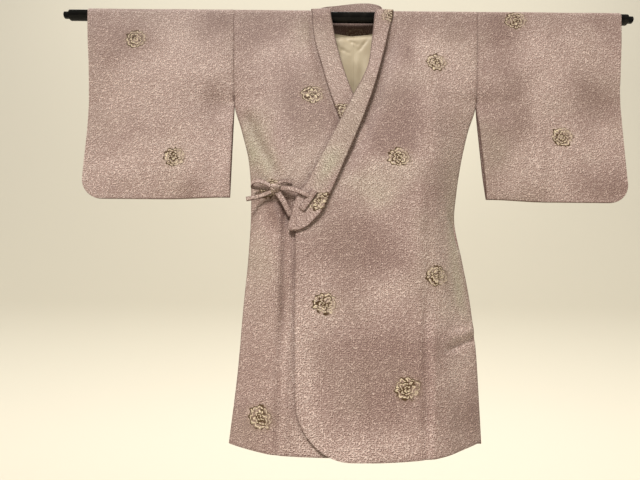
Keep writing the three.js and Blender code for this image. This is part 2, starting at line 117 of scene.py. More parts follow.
def smooth(at, value):
    """A curve through values at places, without overshoot."""
    span = np.diff(at)
    secant = np.diff(value) / span
    before = np.append(secant[:1], secant)
    after = np.append(secant, secant[-1:])
    same_way = before * after > 0
    slope = np.where(same_way, 2 * before * after / np.where(same_way, before + after, 1), 0)

    def curve(where):
        i = np.clip(np.searchsorted(at, where) - 1, 0, len(span) - 1)
        t = np.clip((where - at[i]) / span[i], 0, 1)
        sway = slope[i] * t * (1 - t) ** 2 - slope[i + 1] * t * t * (1 - t)
        return mix(value[i], value[i + 1], ease(t)) + span[i] * sway
    return curve


def table(names, *rows):
    """The columns of a table by their names."""
    return Named(**dict(zip(names.split(), np.array(rows, float).T)))


def tables(names, **groups):
    return {key: table(names, *rows) for key, rows in groups.items()}


def rows_of(columns):
    return zip(*vars(columns).values())


def curves(names, *rows):
    """A table's other columns as smooth curves over its first one."""
    at, *columns = np.array(rows, float).T
    return Named(**{
        name: smooth(at, column) for name, column in zip(names.split()[1:], columns)
    })


def steps(start, end, size):
    """Evenly spaced places, about size apart."""
    return np.linspace(start, end, max(2, round(abs(end - start) / size) + 1))


def edged(width, size, fine=(1.2, 3.5)):
    """Shares of a width: close together near both edges, about size apart between."""
    near = np.array([0.0, *fine])
    inside = steps(fine[-1] + size / 2, width - fine[-1] - size / 2, size)
    return np.concatenate([near, inside, width - near[::-1]]) / width


def joined(*stretches):
    """Stretches of places one after another. Each gives up its last place to the next."""
    return np.concatenate([*(stretch[:-1] for stretch in stretches[:-1]), stretches[-1]])


def corner_rows(end, radius, count):
    """Places down a rounded corner, closer together towards its end."""
    return end - radius + radius * np.sin(np.linspace(0, math.pi / 2, count))


def corner_cut(down, end, radius):
    """How far a rounded corner cuts into an edge."""
    past = np.clip((down - end + radius) / radius, 0, 1)
    return radius * (1 - np.sqrt(1 - past ** 2))


def lengths(points):
    """How far along a line of points each one is."""
    return np.concatenate([[0], np.cumsum(np.linalg.norm(np.diff(points, axis=0), axis=1))])


def resample(at, points, where):
    """A smooth curve's points at distances along it."""
    slope = np.gradient(points, at, axis=0)
    i = np.clip(np.searchsorted(at, where) - 1, 0, len(at) - 2)
    span = (at[i + 1] - at[i])[:, None]
    t = ((where - at[i])[:, None]) / span
    a, b, da, db = points[i], points[i + 1], slope[i] * span, slope[i + 1] * span
    return (a * (2 * t ** 3 - 3 * t ** 2 + 1) + da * (t ** 3 - 2 * t ** 2 + t)
            + b * (3 * t ** 2 - 2 * t ** 3) + db * (t ** 3 - t ** 2))


def spanned(start, end, share):
    """A grid from one edge's points across to the other's."""
    return start[:, None] + (end - start)[:, None] * share[None, :, None]


def normals(grid):
    cross = np.cross(np.gradient(grid, axis=0), np.gradient(grid, axis=1))
    return cross / np.linalg.norm(cross, axis=-1, keepdims=True)


def value_noise(u, v, cell_u, cell_v, seed):
    """Smooth noise from -1 to 1."""
    size = 64
    lattice = np.random.RandomState(seed).uniform(-1, 1, (size, size))
    i, j = np.floor(u / cell_u).astype(int), np.floor(v / cell_v).astype(int)
    s, t = ease(u / cell_u - i), ease(v / cell_v - j)

    def corner(di, dj):
        return lattice[(i + di) % size, (j + dj) % size]
    return mix(mix(corner(0, 0), corner(1, 0), s), mix(corner(0, 1), corner(1, 1), s), t)


def noises(u, v, seed, layers):
    """Noises added up. A layer has its height, its cells' two sizes and what it adds to the seed."""
    return sum(high * value_noise(u, v, wide, tall, seed + more) for high, wide, tall, more in layers)


def seed_of(name):
    return sum(map(ord, name))


# --- The coat's form ---

# The body at distances below the rail, as in the frame's own solids: x of its two side edges, and
# y of the front's middle, of the side edges and of the back's middle. Open is half the gap between
# the front's and the back's side edge, and pleat is the depth of the back's soft folds.
BODY_FORM = curves(
    "down right left front side open back pleat",
    (0, -279, 314, -CREST, 0, CREST, CREST, 0),
    (60, -277, 310, -15.5, 0, 14, 16, 0),
    (150, -273, 305, -20, 0, 11, 22, 3),
    (200, -271, 302, -24, 0, 6.5, 27, 6),
    (235, -269, 299, -27, 0, MEET, 30, 9),
    (300, -250, 278, -33, 4, MEET, 35, 13),
    (380, -230, 258, -39, 8, MEET, 41, 17),
    (450, -223, 245, -42, 10, MEET, 45, 19),
    (515, -221, 237, -44, 10, MEET, 47, 20),
    (600, -223, 248, -47, 10, MEET, 49, 19),
    (720, -230, 263, -51, 11, MEET, 52, 17),
    (850, -236, 270, -55, 12, MEET, 55, 15),
    (1005, -249, 270, -60, 13, MEET, 58, 14),
)
SIDE_EDGE = {"left": BODY_FORM.left, "right": BODY_FORM.right}
SIDES, INWARDS = ("left", "right"), {"left": -1, "right": 1}
ARMHOLE_END = 235  # below this the side seams are sewn
HEM_LENGTH = {"left": 1005, "right": 998, "back": 994}  # at the hem's lowest point
HEM_RISE = {"left": 24, "right": 11, "back": 10}  # at the side edges
HEM_CENTRE, HEM_HALF = 10, 250  # x of the lowest point, and how far from it the rise is given
HEM_STARTS = 300  # rows above this are level
FRONT_FOLD = {"left": 156, "right": -148}  # x where the fronts start to turn back to the side edges
FOLD_ROUNDING = 1.35
CENTRE_BACK = 14
BACK_PLEATS = Named(per_half=2.4, drift=0.22, drift_rate=2.2, start=-0.06)
OVER_LIFT = 7  # how far the left front lies out over the right one
OVER_ROWS, OVER_SIDE = (60, 200), (228, 180)  # where that starts and is whole: down, and x

# The collar's two legs: x of the edge that is sewn to the front and of the free edge at the neck.
LEG = {
    "left": curves(
        "down seam free",
        (0, 107, 64), (60, 93, 57), (140, 74, 46), (225, 50, 10), (300, 24, -25), (385, -10, -66),
        (450, -36, -97), (475, -47, -114), (506, -60, -124), (530, -79, -129), (546, -96, -135),
        (554, -112, -131),
    ),
    "right": curves(
        "down seam free",
        (0, -89, -44), (55, -85, -36), (140, -65, -17), (225, -42, 10), (300, -16, 48), (385, 18, 90),
        (450, 44, 122), (475, 55, 135), (506, 68, 145), (530, 87, 150), (546, 105, 156),
        (554, 122, 153),
    ),
}
# The collar round the neck, from the right shoulder to the left one: where its seam edge is over the
# rail and down the back, that edge's x, and the place of the free edge, which stands up.
NECK_TURN = table(
    "along seam free_x free_y free_z",
    (-CREST_ARC / 6, -90, -43, -15.5, 9),
    (-CREST_ARC / 3, -91, -45, -9, 16),
    (-CREST_ARC / 2, -91, -50, 0, 21),
    (-CREST_ARC / 1.5, -90, -58, 8, 27),
    (-CREST_ARC / 1.2, -89, -66, 14, 33),
    (-CREST_ARC, -87, -69, 19, 39),
    (-CREST_ARC - 14, -80, -58, 21, 44),
    (-CREST_ARC - 36, -55, -33, 23, 49),
    (-CREST_ARC - 50, 12, 8, 26, 57),
    (-CREST_ARC - 34, 74, 40, 25, 59),
    (-CREST_ARC - 13, 98, 65, 22, 55),
    (-CREST_ARC, 105, 82, 18, 46),
    (-CREST_ARC / 1.2, 108, 84, 13, 38),
    (-CREST_ARC / 1.5, 109, 78, 7, 29),
    (-CREST_ARC / 2, 109, 71, 0, 22),
    (-CREST_ARC / 3, 109, 67, -9, 16),
    (-CREST_ARC / 6, 108, 66, -15.5, 9),
)
NECK_CUT = curves(
    "down right left",
    (0, -83, 101), (14, -76, 96), (27, -54, 76), (37, -22, 50),
    (42, CENTRE_BACK - SEAM / 2, CENTRE_BACK + SEAM / 2),
)
TUCK = 8  # cloth that runs in under the collar's seam edge
COLLAR_END = 560
OVERLAP_TOP, OVERLAP_STARTS, OVERLAP_CORNER = 300, 283, 105
OVERLAP = {
    "left": curves("down seam edge", (283, 31, -117), (680, 31, -116), (1005, 35, -108)),
    "right": curves("down seam edge", (283, -23, 127), (680, -14, 132), (1005, -6, 139)),
}
LINING_TOP, LINING_BOTTOM, LINING_SHARE = 42, 265, 0.4  # rows, and share of the panel's width
LINING_SLANT = 0.1  # its upper edge drops towards the wearer's right

# The sleeves at distances below the rail: x of their edges, half the gap between the two sheets at
# the inner edge, in the middle and at the outer edge, and how far they hang to the back.
SLEEVE = curves(
    "down left_inner left_outer right_inner right_outer gap_inner gap_middle gap_outer swing",
    (0, 314, 663, -279, -635, CREST, CREST, CREST, 0),
    (60, 310, 657, -277, -629, 14, 15, 14, 1),
    (150, 305, 648.5, -273, -620, 11, 15, 9, 4),
    (200, 302, 645.5, -271, -617.5, 6.5, 14, 3.5, 6),
    (235, 299, 645.5, -269, -616, MEET, 13, MEET, 8),
    (300, 302, 645, -270, -614.5, 6, 11, MEET, 11),
    (400, 306, 644.5, -270, -615.5, 6, 7, MEET, 15),
    (466, 309, 645.5, -269, -613.5, MEET, MEET, MEET, 18),
)
SLEEVE_BOTTOM, SLEEVE_CORNER = 464, 47


def front_y(x, down):
    """Flat between the two soft folds, then back to the side edges."""
    left = x >= 0
    fold = np.where(left, FRONT_FOLD["left"], FRONT_FOLD["right"])
    edge = np.where(left, BODY_FORM.left(down), BODY_FORM.right(down))
    turned = np.clip((x - fold) / (edge - fold), 0, 1) ** FOLD_ROUNDING
    return mix(BODY_FORM.front(down), BODY_FORM.side(down) - BODY_FORM.open(down), turned)


def back_y(x, down):
    """Bowed out behind, in soft upright folds."""
    left, right = BODY_FORM.left(down), BODY_FORM.right(down)
    share = (2 * x - left - right) / (left - right)
    bow = 1 - np.abs(share) ** 3
    drift = BACK_PLEATS.drift * np.sin(BACK_PLEATS.drift_rate * share)
    fold = np.cos(2 * np.pi * (BACK_PLEATS.per_half * share + drift + BACK_PLEATS.start))
    bowed = mix(BODY_FORM.side(down) + BODY_FORM.open(down), BODY_FORM.back(down), bow)
    return bowed + BODY_FORM.pleat(down) * bow * fold


def row_z(x, down, hem):
    """Near the hem the rows rise towards the side edges."""
    near = ramp(down, HEM_STARTS, HEM_LENGTH[hem])
    return -(down - HEM_RISE[hem] * ((x - HEM_CENTRE) / HEM_HALF) ** 2 * near)


def below_rail(along):
    return np.where(along >= 0, along, np.maximum(0, -along - CREST_ARC))


def coat_point(side, x, along, lift):
    """Points of the coat, moved out from the cloth's middle by their lift."""
    x, along, lift = np.broadcast_arrays(np.asarray(x, float), along, lift)
    down = below_rail(along)
    over = OVER_LIFT * ramp(down, *OVER_ROWS) * ramp(x, *OVER_SIDE) * (side == "left")
    front = np.stack([x, front_y(x, down) - over - lift, row_z(x, down, side)], -1)
    back = np.stack([x, back_y(x, down) + lift, row_z(x, down, "back")], -1)
    angle = -along / CREST
    crest = np.stack([x, -(CREST + lift) * np.cos(angle), (CREST + lift) * np.sin(angle)], -1)
    on_front, on_back = (along >= 0)[..., None], (along <= -CREST_ARC)[..., None]
    return np.where(on_front, front, np.where(on_back, back, crest))


# --- Relief: soft folds, creases and seams ---

# Ridges and troughs, each along a line from x0, down0 to x1, down1. A crisp one has a sharp crest.
FOLDS = tables(
    "x0 down0 x1 down1 width lift crisp",
    left=[
        (163, 430, 158, 800, 12, -3.6, 0), (154, 640, 138, 1070, 5, -7, 1),
        (170, 700, 153, 1050, 10, 3.2, 0), (176, 812, 292, 786, 6, -5, 0),
        (182, 786, 292, 766, 9, 3.4, 0), (219, 488, 250, 600, 7, -6.5, 0),
        (206, 470, 234, 570, 10, 2.4, 0), (150, 150, 240, 420, 24, 1.8, 0),
        (110, 250, 200, 540, 28, -1.7, 0), (60, 560, 84, 1000, 26, 1.3, 0),
        (-60, 560, -40, 940, 24, -1.3, 0), (-110, 560, -98, 980, 12, 1, 0),
    ],
    right=[
        (-246, 244, -186, 378, 10, -5, 0), (-204, 338, -146, 446, 9, -5, 0),
        (-255, 270, -210, 396, 9, 2.6, 0), (-144, 430, -138, 830, 7, -8.5, 1),
        (-140, 600, -148, 1080, 7, -5.5, 1), (-166, 500, -164, 1050, 10, 2.2, 0),
        (-129, 500, -131, 1050, 8, 2.6, 0), (-165, 478, -232, 372, 10, -2, 0),
        (-120, 470, -66, 330, 14, 1.6, 0), (-156, 462, -112, 556, 13, -8, 0),
        (-174, 480, -144, 560, 10, 2.6, 0), (-190, 150, -110, 420, 26, -1.8, 0),
        (-196, 560, -204, 1040, 16, -1, 0),
    ],
    back=[
        (-120, 120, -70, 300, 22, -2.4, 0), (150, 120, 100, 310, 24, -2.2, 0),
        (-30, 60, -16, 240, 14, 1.8, 0), (62, 60, 44, 250, 15, 1.8, 0),
        (-215, 430, -100, 540, 14, -2.6, 0), (225, 430, 120, 560, 14, -2.4, 0),
        (-205, 700, -60, 740, 12, 2, 0), (60, 820, 210, 790, 11, -2.2, 0),
    ],
    neck=[
        (-12, 46, 12, 66, 1.6, -3.2, 1), (4, 56, 30, 72, 1.6, -3, 1),
        (52, 50, 20, 90, 1.6, -3.4, 1), (-20, 74, 6, 96, 1.6, -3.2, 1),
        (-34, 60, -8, 92, 1.8, -2.6, 1), (23, 84, 22, 200, 7, 1.8, 0),
        (-34, 90, 10, 200, 9, 1.8, 0), (54, 80, 34, 200, 9, 1.8, 0),
    ],
    sleeve_left=[
        (449, 170, 441, 520, 22, 4.2, 1), (330, 120, 420, 330, 36, 1.8, 0),
        (560, 60, 606, 330, 34, -1.8, 0), (500, 30, 410, 190, 30, 1.6, 0),
        (628, 330, 590, 480, 20, 1.4, 0), (330, 300, 372, 460, 22, -1.4, 0),
    ],
    sleeve_right=[
        (-371, 270, -361, 520, 22, 1.9, 1), (-300, 110, -400, 330, 36, 1.8, 0),
        (-594, 90, -540, 360, 36, -1.8, 0), (-470, 30, -370, 220, 30, 1.5, 0),
        (-600, 370, -470, 440, 20, 1.2, 0), (-300, 280, -326, 470, 20, -1.3, 0),
    ],
)
FOLD_FADE = 0.3  # share of a fold's length over which each end fades
# The hollows along the collar's legs: how deep, the share of that low down, how far from the leg and
# how wide, and the rows over which each comes and goes.
HOLLOW = {
    "left": Named(deep=6.5, low=0.4, away=10, wide=20, comes=(10, 100), goes=(570, 520)),
    "right": Named(deep=4.5, low=1.0, away=6, wide=10, comes=(0, 50), goes=(380, 300)),
}
LOW_DOWN = 330, 480
# Waves in the hanging silk: height, width, length, their part of the seed, and the short ones' lean.
LONG_WAVES, SHORT_WAVES, LEAN = [(2.2, 95, 330, 0)], [(0.6, 34, 120, 1)], 0.25
GROOVE = Named(deep=0.6, wide=2.6)
PUCKER = Named(high=0.4, away=5, wide=6, long=17)


def fold_lift(folds, x, down):
    """Lift by ridges and troughs along lines, fading at both ends."""
    total = np.zeros(np.broadcast(x, down).shape)
    for x0, down0, x1, down1, width, lift, crisp in rows_of(folds):
        length = math.hypot(x1 - x0, down1 - down0)
        way = ((x1 - x0) / length, (down1 - down0) / length)
        along = ((x - x0) * way[0] + (down - down0) * way[1]) / length
        across = np.abs((x - x0) * way[1] - (down - down0) * way[0]) / width
        profile = np.exp(-across) if crisp else np.exp(-across ** 2)
        total += lift * profile * ease(along / FOLD_FADE) * ease((1 - along) / FOLD_FADE)
    return total


def beside_collar(side, x, down):
    """The hollow that a leg of the collar presses into the fronts beside it."""
    hollow = HOLLOW[side]
    away = (LEG[side].seam(down) - x) * INWARDS[side]
    reach = ramp(down, *hollow.comes) * ramp(down, *hollow.goes)
    reach = reach * mix(1, hollow.low, ramp(down, *LOW_DOWN))
    return -hollow.deep * bell(away - hollow.away, hollow.wide) * reach


def ripples(x, along, name):
    seed = seed_of(name)
    long_waves = noises(x, along, seed, LONG_WAVES)
    return long_waves + noises(x + LEAN * along, along, seed, SHORT_WAVES)


def seam_dip(distance, along, seed):
    """The groove and the slight pucker beside a sewn edge."""
    pucker = PUCKER.high * value_noise(along, 0 * distance, PUCKER.long, PUCKER.long, seed)
    pucker = pucker * bell(distance - PUCKER.away, PUCKER.wide)
    return pucker - GROOVE.deep * bell(distance, GROOVE.wide)


# --- Dye and painted light: cloudy patches, painted shade at edges and folds, roundels ---

# Soft clouds in the coat's own places: how much lighter and how much more beige. Most are the dye's own
# clouds; some are painted light, shade and sheen, as noted in the lists.
CLOUDS_AND_PAINTED_LIGHT = tables(
    "x down wide tall light beige",
    front=[
        # Painted light: the lighter patches at x 268 and 200, on the side that turns away from the light.
        # Painted shade: the darker ones at -140, 502 under the bow and at 132, 90 beside the collar.
        # Painted sheen: the beige patches at -222, 240 and 252 on the turned sides.
        (0, 620, 240, 400, -0.2, 0), (225, 640, 50, 240, 0.35, 0), (268, 290, 42, 240, 0.6, 0.1),
        (-118, 205, 46, 62, -0.9, 0), (-86, 292, 34, 52, -0.7, 0), (-190, 130, 55, 60, 0.35, 0),
        (-200, 50, 80, 38, -0.6, 0), (-222, 345, 26, 70, 0.7, 0.9), (-188, 396, 20, 44, 0.6, 0.7),
        (-120, 400, 50, 70, 0.55, 0.2), (-140, 502, 24, 36, -1.6, 0), (-150, 440, 12, 14, -0.7, 0),
        (132, 90, 32, 60, -0.8, 0), (116, 298, 62, 76, -1.35, 0), (215, 120, 60, 70, 0.8, 0.1),
        (262, 40, 50, 40, -0.5, 0), (34, 452, 60, 44, 0.9, 0.4), (125, 420, 60, 38, 0.7, 0.2),
        (208, 372, 48, 50, 0.6, 0), (200, 262, 30, 64, 0.7, 0), (6, 586, 72, 56, -1.35, 0),
        (165, 610, 40, 70, 0.6, 0.2), (-55, 690, 45, 55, 0.6, 0.1), (82, 690, 50, 34, 0.9, 0.1),
        (82, 832, 62, 80, -1.35, 0), (-95, 850, 36, 150, 0.7, 0), (50, 985, 150, 40, 0.6, 0),
        (215, 735, 45, 40, 0.9, 0.2), (206, 868, 36, 42, 0.8, 0), (240, 955, 42, 56, -1.3, -0.2),
        (226, 806, 40, 26, 0.6, 0), (240, 560, 22, 120, 0.3, 0.8), (252, 700, 16, 60, 0.2, 0.6),
        (-125, 60, 30, 60, 0.2, 0.3), (-200, 610, 40, 90, 0.15, 0.3), (-195, 962, 60, 36, -0.7, 0.2),
        (-190, 800, 50, 70, -0.1, 0), (-120, 620, 22, 100, -0.35, 0), (-180, 520, 60, 40, -0.2, 0),
    ],
    sleeve_left=[
        (480, 250, 300, 400, 0.3, 0),
        (362, 50, 60, 50, -1, 0), (372, 245, 56, 74, -1, 0), (326, 350, 40, 100, -0.5, 0.2),
        (474, 110, 56, 80, 0.6, -0.2), (462, 240, 44, 70, 0.4, 0), (580, 218, 60, 56, -0.85, 0),
        (575, 320, 60, 44, 0.4, 0), (600, 440, 70, 44, -0.8, -0.2), (440, 400, 60, 70, 0.4, 0),
        (560, 90, 44, 44, 0.3, 0), (628, 40, 40, 40, -0.4, 0),
    ],
    sleeve_right=[
        (-450, 300, 300, 400, 0.45, 0),
        (-548, 70, 74, 48, -1, 0), (-312, 38, 56, 38, -0.8, 0), (-420, 165, 80, 60, 0.5, 0),
        (-520, 200, 70, 35, 0.4, -0.2), (-332, 225, 60, 50, -0.75, 0), (-578, 295, 50, 60, -0.5, 0),
        (-360, 320, 60, 40, 0.35, 0), (-470, 385, 110, 46, 0.8, 0), (-332, 436, 50, 34, -0.5, 0),
        (-430, 60, 50, 36, 0.2, 0), (-600, 430, 40, 40, 0.1, -0.2),
    ],
    collar=[
        # The darkest of these, at 700, is painted shade inside the neck.
        (24, 1300, 40, 60, 0.3, 0.9), (24, 1130, 40, 90, 0.1, 0.3), (24, 60, 40, 90, 0.1, 0),
        (24, 480, 60, 70, 0.2, 0.1), (24, 900, 60, 80, -0.1, 0), (24, 700, 80, 130, -1.2, 0),
    ],
    # The straps are lighter all over.
    strap=[(0, 0, 4000, 4000, 0.5, 0.1)],
)
COLLAR_PLACES = 900  # added across the collar, so that its threads differ from the fronts'

# Roundels: their places, below zero down the back, and how far each leans.
ROUNDEL_WIDE, ROUNDEL_TALL, ROUNDEL_REACH = 24.5, 21.5, 1.6  # half sizes, and the reach in radii
ROUNDELS = tables(
    "x down turn",
    body_left=[
        (207, 133, 0.18), (108, 382, 0.39), (181, 650, -0.34), (109, 873, -0.40),
        (96, -175, 0.02), (216, -330, 0.29), (90, -520, -0.32),
        (205, -690, 0.30), (95, -860, -0.43), (232, -110, 0.45),
    ],
    body_right=[
        (-85, 222, 0.43), (-176, 452, -0.07), (-180, 935, 0.09), (-60, 720, -0.43),
        (-70, -250, 0.35), (-190, -130, 0.15), (-180, -430, -0.44),
        (-62, -620, 0.43), (-185, -790, -0.31), (-70, -930, 0.04),
    ],
    overlap_left=[(-54, 707, -0.17)],
    overlap_right=[(60, 560, 0.38), (70, 860, 0.06)],
    sleeve_left=[
        (405, 15, -0.24), (497, 311, 0.45), (420, -180, 0.36),
        (580, -90, -0.37), (530, -370, 0.22),
    ],
    sleeve_right=[
        (-512, 73, 0.11), (-402, 368, 0.13), (-340, -120, 0.42),
        (-520, -190, -0.16), (-400, -360, -0.25),
    ],
    collar=[
        (14 + COLLAR_PLACES, 318, 0.32), (14 + COLLAR_PLACES, 1390, 0.41),
        (9 + COLLAR_PLACES, 742, -0.34), (2 + COLLAR_PLACES, 874, -0.43),
    ],
)
# Noise in the dye: how strong, its cells' width and height, and what is added to the seed.
LIGHT_NOISE, BEIGE_NOISE = [(0.26, 62, 75, 7), (0.16, 27, 33, 8)], [(0.12, 80, 60, 9)]
DRIFT_ACROSS, DRIFT_DOWN = [(24, 58, 70, 3)], [(24, 70, 58, 4)]  # of the clouds' edges
BACK_PLACES = 3000  # added on the back, so that the front's clouds stay off it

EDGE_SHADE = {  # painted shade beside an edge: how strong and how wide
    "side": (0.36, 2.2), "hem": (0.5, 1.6), "overlap_seam": (0.06, 2.2), "pressed": (0.38, 2.6),
    "left_opening": (0.95, 2.0), "right_opening": (0.5, 2.0), "sleeve_bottom": (0.7, 1.8),
    "collar": (0.6, 1.8), "strap": (0.9, 1.3),
}
FOLD_SHADE = 0.035  # painted shade in a fold's trough, for each millimetre that the fold goes in
# Painted shade over the shoulders, where the cloth turns over the rail: how strong, how wide and where it
# starts; and where the painted dark line on the turn lies.
TURN_SHADE, TURN_WIDTH, TURN_STARTS, PRESSED_AT = 0.15, 42, 20, -13.2


def dyed(patch_table, x, down, name, shade):
    """The colour at each point: lightness from -1 to 1 and beige cast, each partly dye and partly painted
    light, and painted shade.
    """
    light, beige, drift_x, drift_down = (
        noises(x, down, seed_of(name), layers)
        for layers in (LIGHT_NOISE, BEIGE_NOISE, DRIFT_ACROSS, DRIFT_DOWN)
    )
    for px, pd, wide, tall, lighter, more_beige in rows_of(CLOUDS_AND_PAINTED_LIGHT[patch_table]):
        near = bell(x + drift_x - px, wide) * bell(down + drift_down - pd, tall)
        light, beige = light + lighter * near, beige + more_beige * near
    return np.stack(np.broadcast_arrays(np.clip(light, -1, 1), np.clip(beige, 0, 1), shade), -1)


# Painted shade beside an edge, from the table above.
def edge_shade(kind, distance):
    strength, width = EDGE_SHADE[kind]
    return strength * bell(distance, width)


# Painted shade in the folds' troughs.
def fold_shade(pressed):
    return FOLD_SHADE * np.maximum(0, -pressed)


def turn_shade(along):
    """Painted shade where the front turns over the rail, with a painted dark line along the turn."""
    drawn = TURN_SHADE * bell(np.maximum(0, along), TURN_WIDTH)
    drawn = drawn * ramp(along, -CREST_ARC, TURN_STARTS - CREST_ARC)
    return np.maximum(drawn, edge_shade("pressed", along - PRESSED_AT))


def nearest_roundel(name, places):
    """Each point's place in its nearest roundel, in radii, and whether it is within reach."""
    nearest = np.full(places.shape[:2], np.inf)
    local = np.zeros((*places.shape[:2], 3))
    if name not in ROUNDELS:
        return local
    for x, down, turn in rows_of(ROUNDELS[name]):
        along = down if down > 0 else down - CREST_ARC
        u, v = (places[..., 0] - x) / ROUNDEL_WIDE, (places[..., 1] - along) / ROUNDEL_TALL
        away = u ** 2 + v ** 2
        c, s = math.cos(turn), math.sin(turn)
        turned = np.stack([c * u - s * v, s * u + c * v, away < ROUNDEL_REACH ** 2], -1)
        local = np.where((away < nearest)[..., None], turned, local)
        nearest = np.minimum(nearest, away)
    return local


# --- Node trees ---

class Value:
    """A socket's value. Arithmetic with it makes Math nodes."""

    def __init__(self, tree, socket):
        self.tree, self.socket = tree, socket

    def __rsub__(self, other):
        return self.tree.math("SUBTRACT", other, self)

    def __abs__(self):
        return self.tree.math("ABSOLUTE", self)


for sign, operation in {"add": "ADD", "sub": "SUBTRACT", "mul": "MULTIPLY", "truediv": "DIVIDE"}.items():
    setattr(Value, f"__{sign}__", lambda a, b, operation=operation: a.tree.math(operation, a, b))


class Tree:
    """A short way to write a material's node tree."""

    def __init__(self, name):
        self.material = bpy.data.materials.new(name)
        self.material.use_nodes = True
        self.nodes, self.links = self.material.node_tree.nodes, self.material.node_tree.links
        self.shader = self.nodes["Principled BSDF"]

    def set(self, node, inputs):
        for key, value in inputs.items():
            if isinstance(value, Value):
                self.links.new(value.socket, node.inputs[key])
            else:
                node.inputs[key].default_value = value

    def add(self, kind, inputs, output=0, **settings):
        """The output of a new node."""
        node = self.nodes.new("ShaderNode" + kind)
        for key, value in settings.items():
            setattr(node, key, value)
        self.set(node, inputs)
        return Value(self, node.outputs[output])

    def parts(self, vector):
        x = self.add("SeparateXYZ", {"Vector": vector})
        return [Value(self, socket) for socket in x.socket.node.outputs]

    def attribute(self, name):
        return self.parts(self.add("Attribute", {}, "Vector", attribute_name=name))

    def math(self, operation, *values, clamp=False):
        inputs = dict(enumerate(values))
        return self.add("Math", inputs, operation=operation, use_clamp=clamp)

    def most(self, a, b):
        return self.math("MAXIMUM", a, b)

    def vector(self, operation, a, b):
        return self.add("VectorMath", {0: a, 1: b}, operation=operation)

    def between(self, value, low, high, start=0.0, end=1.0):
        """From start where the value is low to end where it is high."""
        inputs = {"Value": value, 1: low, 2: high, 3: start, 4: end}
        return self.add("MapRange", inputs, interpolation_type="SMOOTHSTEP")

    def fade(self, value, low, high):
        return self.between(value, low, high, 1.0, 0.0)

    def blend(self, factor, a, b):
        return self.add("Mix", {0: factor, 6: a, 7: b}, 2, data_type="RGBA")

    def noise(self, vector, scale, detail=1.0, roughness=0.5, distortion=0.0, output="Fac"):
        inputs = {"Vector": vector, "Scale": scale, "Detail": detail, "Roughness": roughness}
        return self.add("TexNoise", {**inputs, "Distortion": distortion}, output)

    def bump(self, height, strength, distance):
        inputs = {"Height": height, "Strength": strength, "Distance": distance}
        self.set(self.shader, {"Normal": self.add("Bump", inputs)})


SILK_DARK = (0.252, 0.160, 0.139, 1)
SILK_MID = (0.440, 0.305, 0.266, 1)
SILK_BEIGE = (0.42, 0.358, 0.267, 1)
THREAD_DIM = (0.59, 0.433, 0.376, 1)
THREAD_LIGHT = (0.88, 0.705, 0.636, 1)
THREAD_BEIGE = (0.68, 0.62, 0.482, 1)
# SHADE is the colour that painted shade goes towards.
SHADE = (0.075, 0.032, 0.020, 1)
GOLD_WASH = (0.52, 0.40, 0.222, 1)
GOLD = (0.92, 0.775, 0.535, 1)
BROWN = (0.078, 0.038, 0.012, 1)
CREAM = (0.66, 0.555, 0.39, 1)
CREAM_DIM = (0.55, 0.45, 0.305, 1)
LACQUER = (0.006, 0.0055, 0.005, 1)
LACQUER_WORN = (0.02, 0.017, 0.015, 1)
SHEEN_TINT = (1.0, 0.9, 0.84, 1)

# The silk's sizes are in metres on the cloth, and its scales in cells to a metre.
CURL_SCALE, CURL_STRETCH, CURL_EDGES = 240.0, (0.95, 1.2, 1.0), (0.3, 0.9)
# THREAD_SHADOW is how far each thread's painted shadow lies from it.
THREAD_WIDTHS, THREAD_SHADOW = (0.060, 0.084), (0.0009, 0.0017, 0.0)
BREAK_SCALE, BREAK_STRETCH, BROKEN = 345.0, (0.8, 1.2, 1.0), (0.36, 0.50)
FLECK_SCALE, FLECK_ASIDE = 21.0, (0.0017, -0.0013, 0.0)
LIGHT_FLECK, DARK_FLECK = (0.019, 0.8), (0.017, 0.7)  # size and strength
SOFT_EDGE = 1.7  # how much wider a line or a dot is where it has faded away
# A roundel's rings of petals, in its radii: how many, how far out they reach, and how deep they are.
RINGS = ((5, 0.36, 0.15), (7, 0.70, 0.18), (11, 1.04, 0.16))
OUTLINE, PARTING, VEIN, STROKE, STROKE_IN = 0.055, 0.030, 0.010, 0.034, 0.13
WOBBLE_SCALE, WOBBLE, WORN_SCALE = 80.0, (0.7, 0.7, 0.0), 70.0


def roundel(tree, place):
    """A many-petalled flower: its light strokes, its dark lines and the radius."""
    radius = tree.add("VectorMath", {0: place}, "Value", operation="LENGTH")
    x, y, _ = tree.parts(place)
    angle = tree.math("ARCTAN2", y, x)

    def line(distance, width):
        return tree.fade(abs(distance), width, width * SOFT_EDGE)

    covered, strokes, lines = 0.0, 0.0, 0.0
    for petals, ring, depth in RINGS:
        lobe = abs(tree.math("SINE", angle * (petals / 2)))
        edge = radius - tree.math("MULTIPLY_ADD", lobe, depth, ring - depth)
        inside = tree.fade(edge, -0.01, 0.01)
        inner = tree.most(line(lobe * radius * (2 / petals), PARTING), line(1.0 - lobe, VEIN) * 0.7)
        inner = inner * tree.math("SUBTRACT", inside, covered, clamp=True)
        lines = tree.most(lines, tree.most(line(edge, OUTLINE), inner))
        strokes = tree.most(strokes, line(edge + STROKE_IN, STROKE))
        covered = tree.most(covered, inside)
    kept = tree.between(x, 0.15, 0.8, 1.0, 0.5)
    return strokes * kept, lines * kept, radius


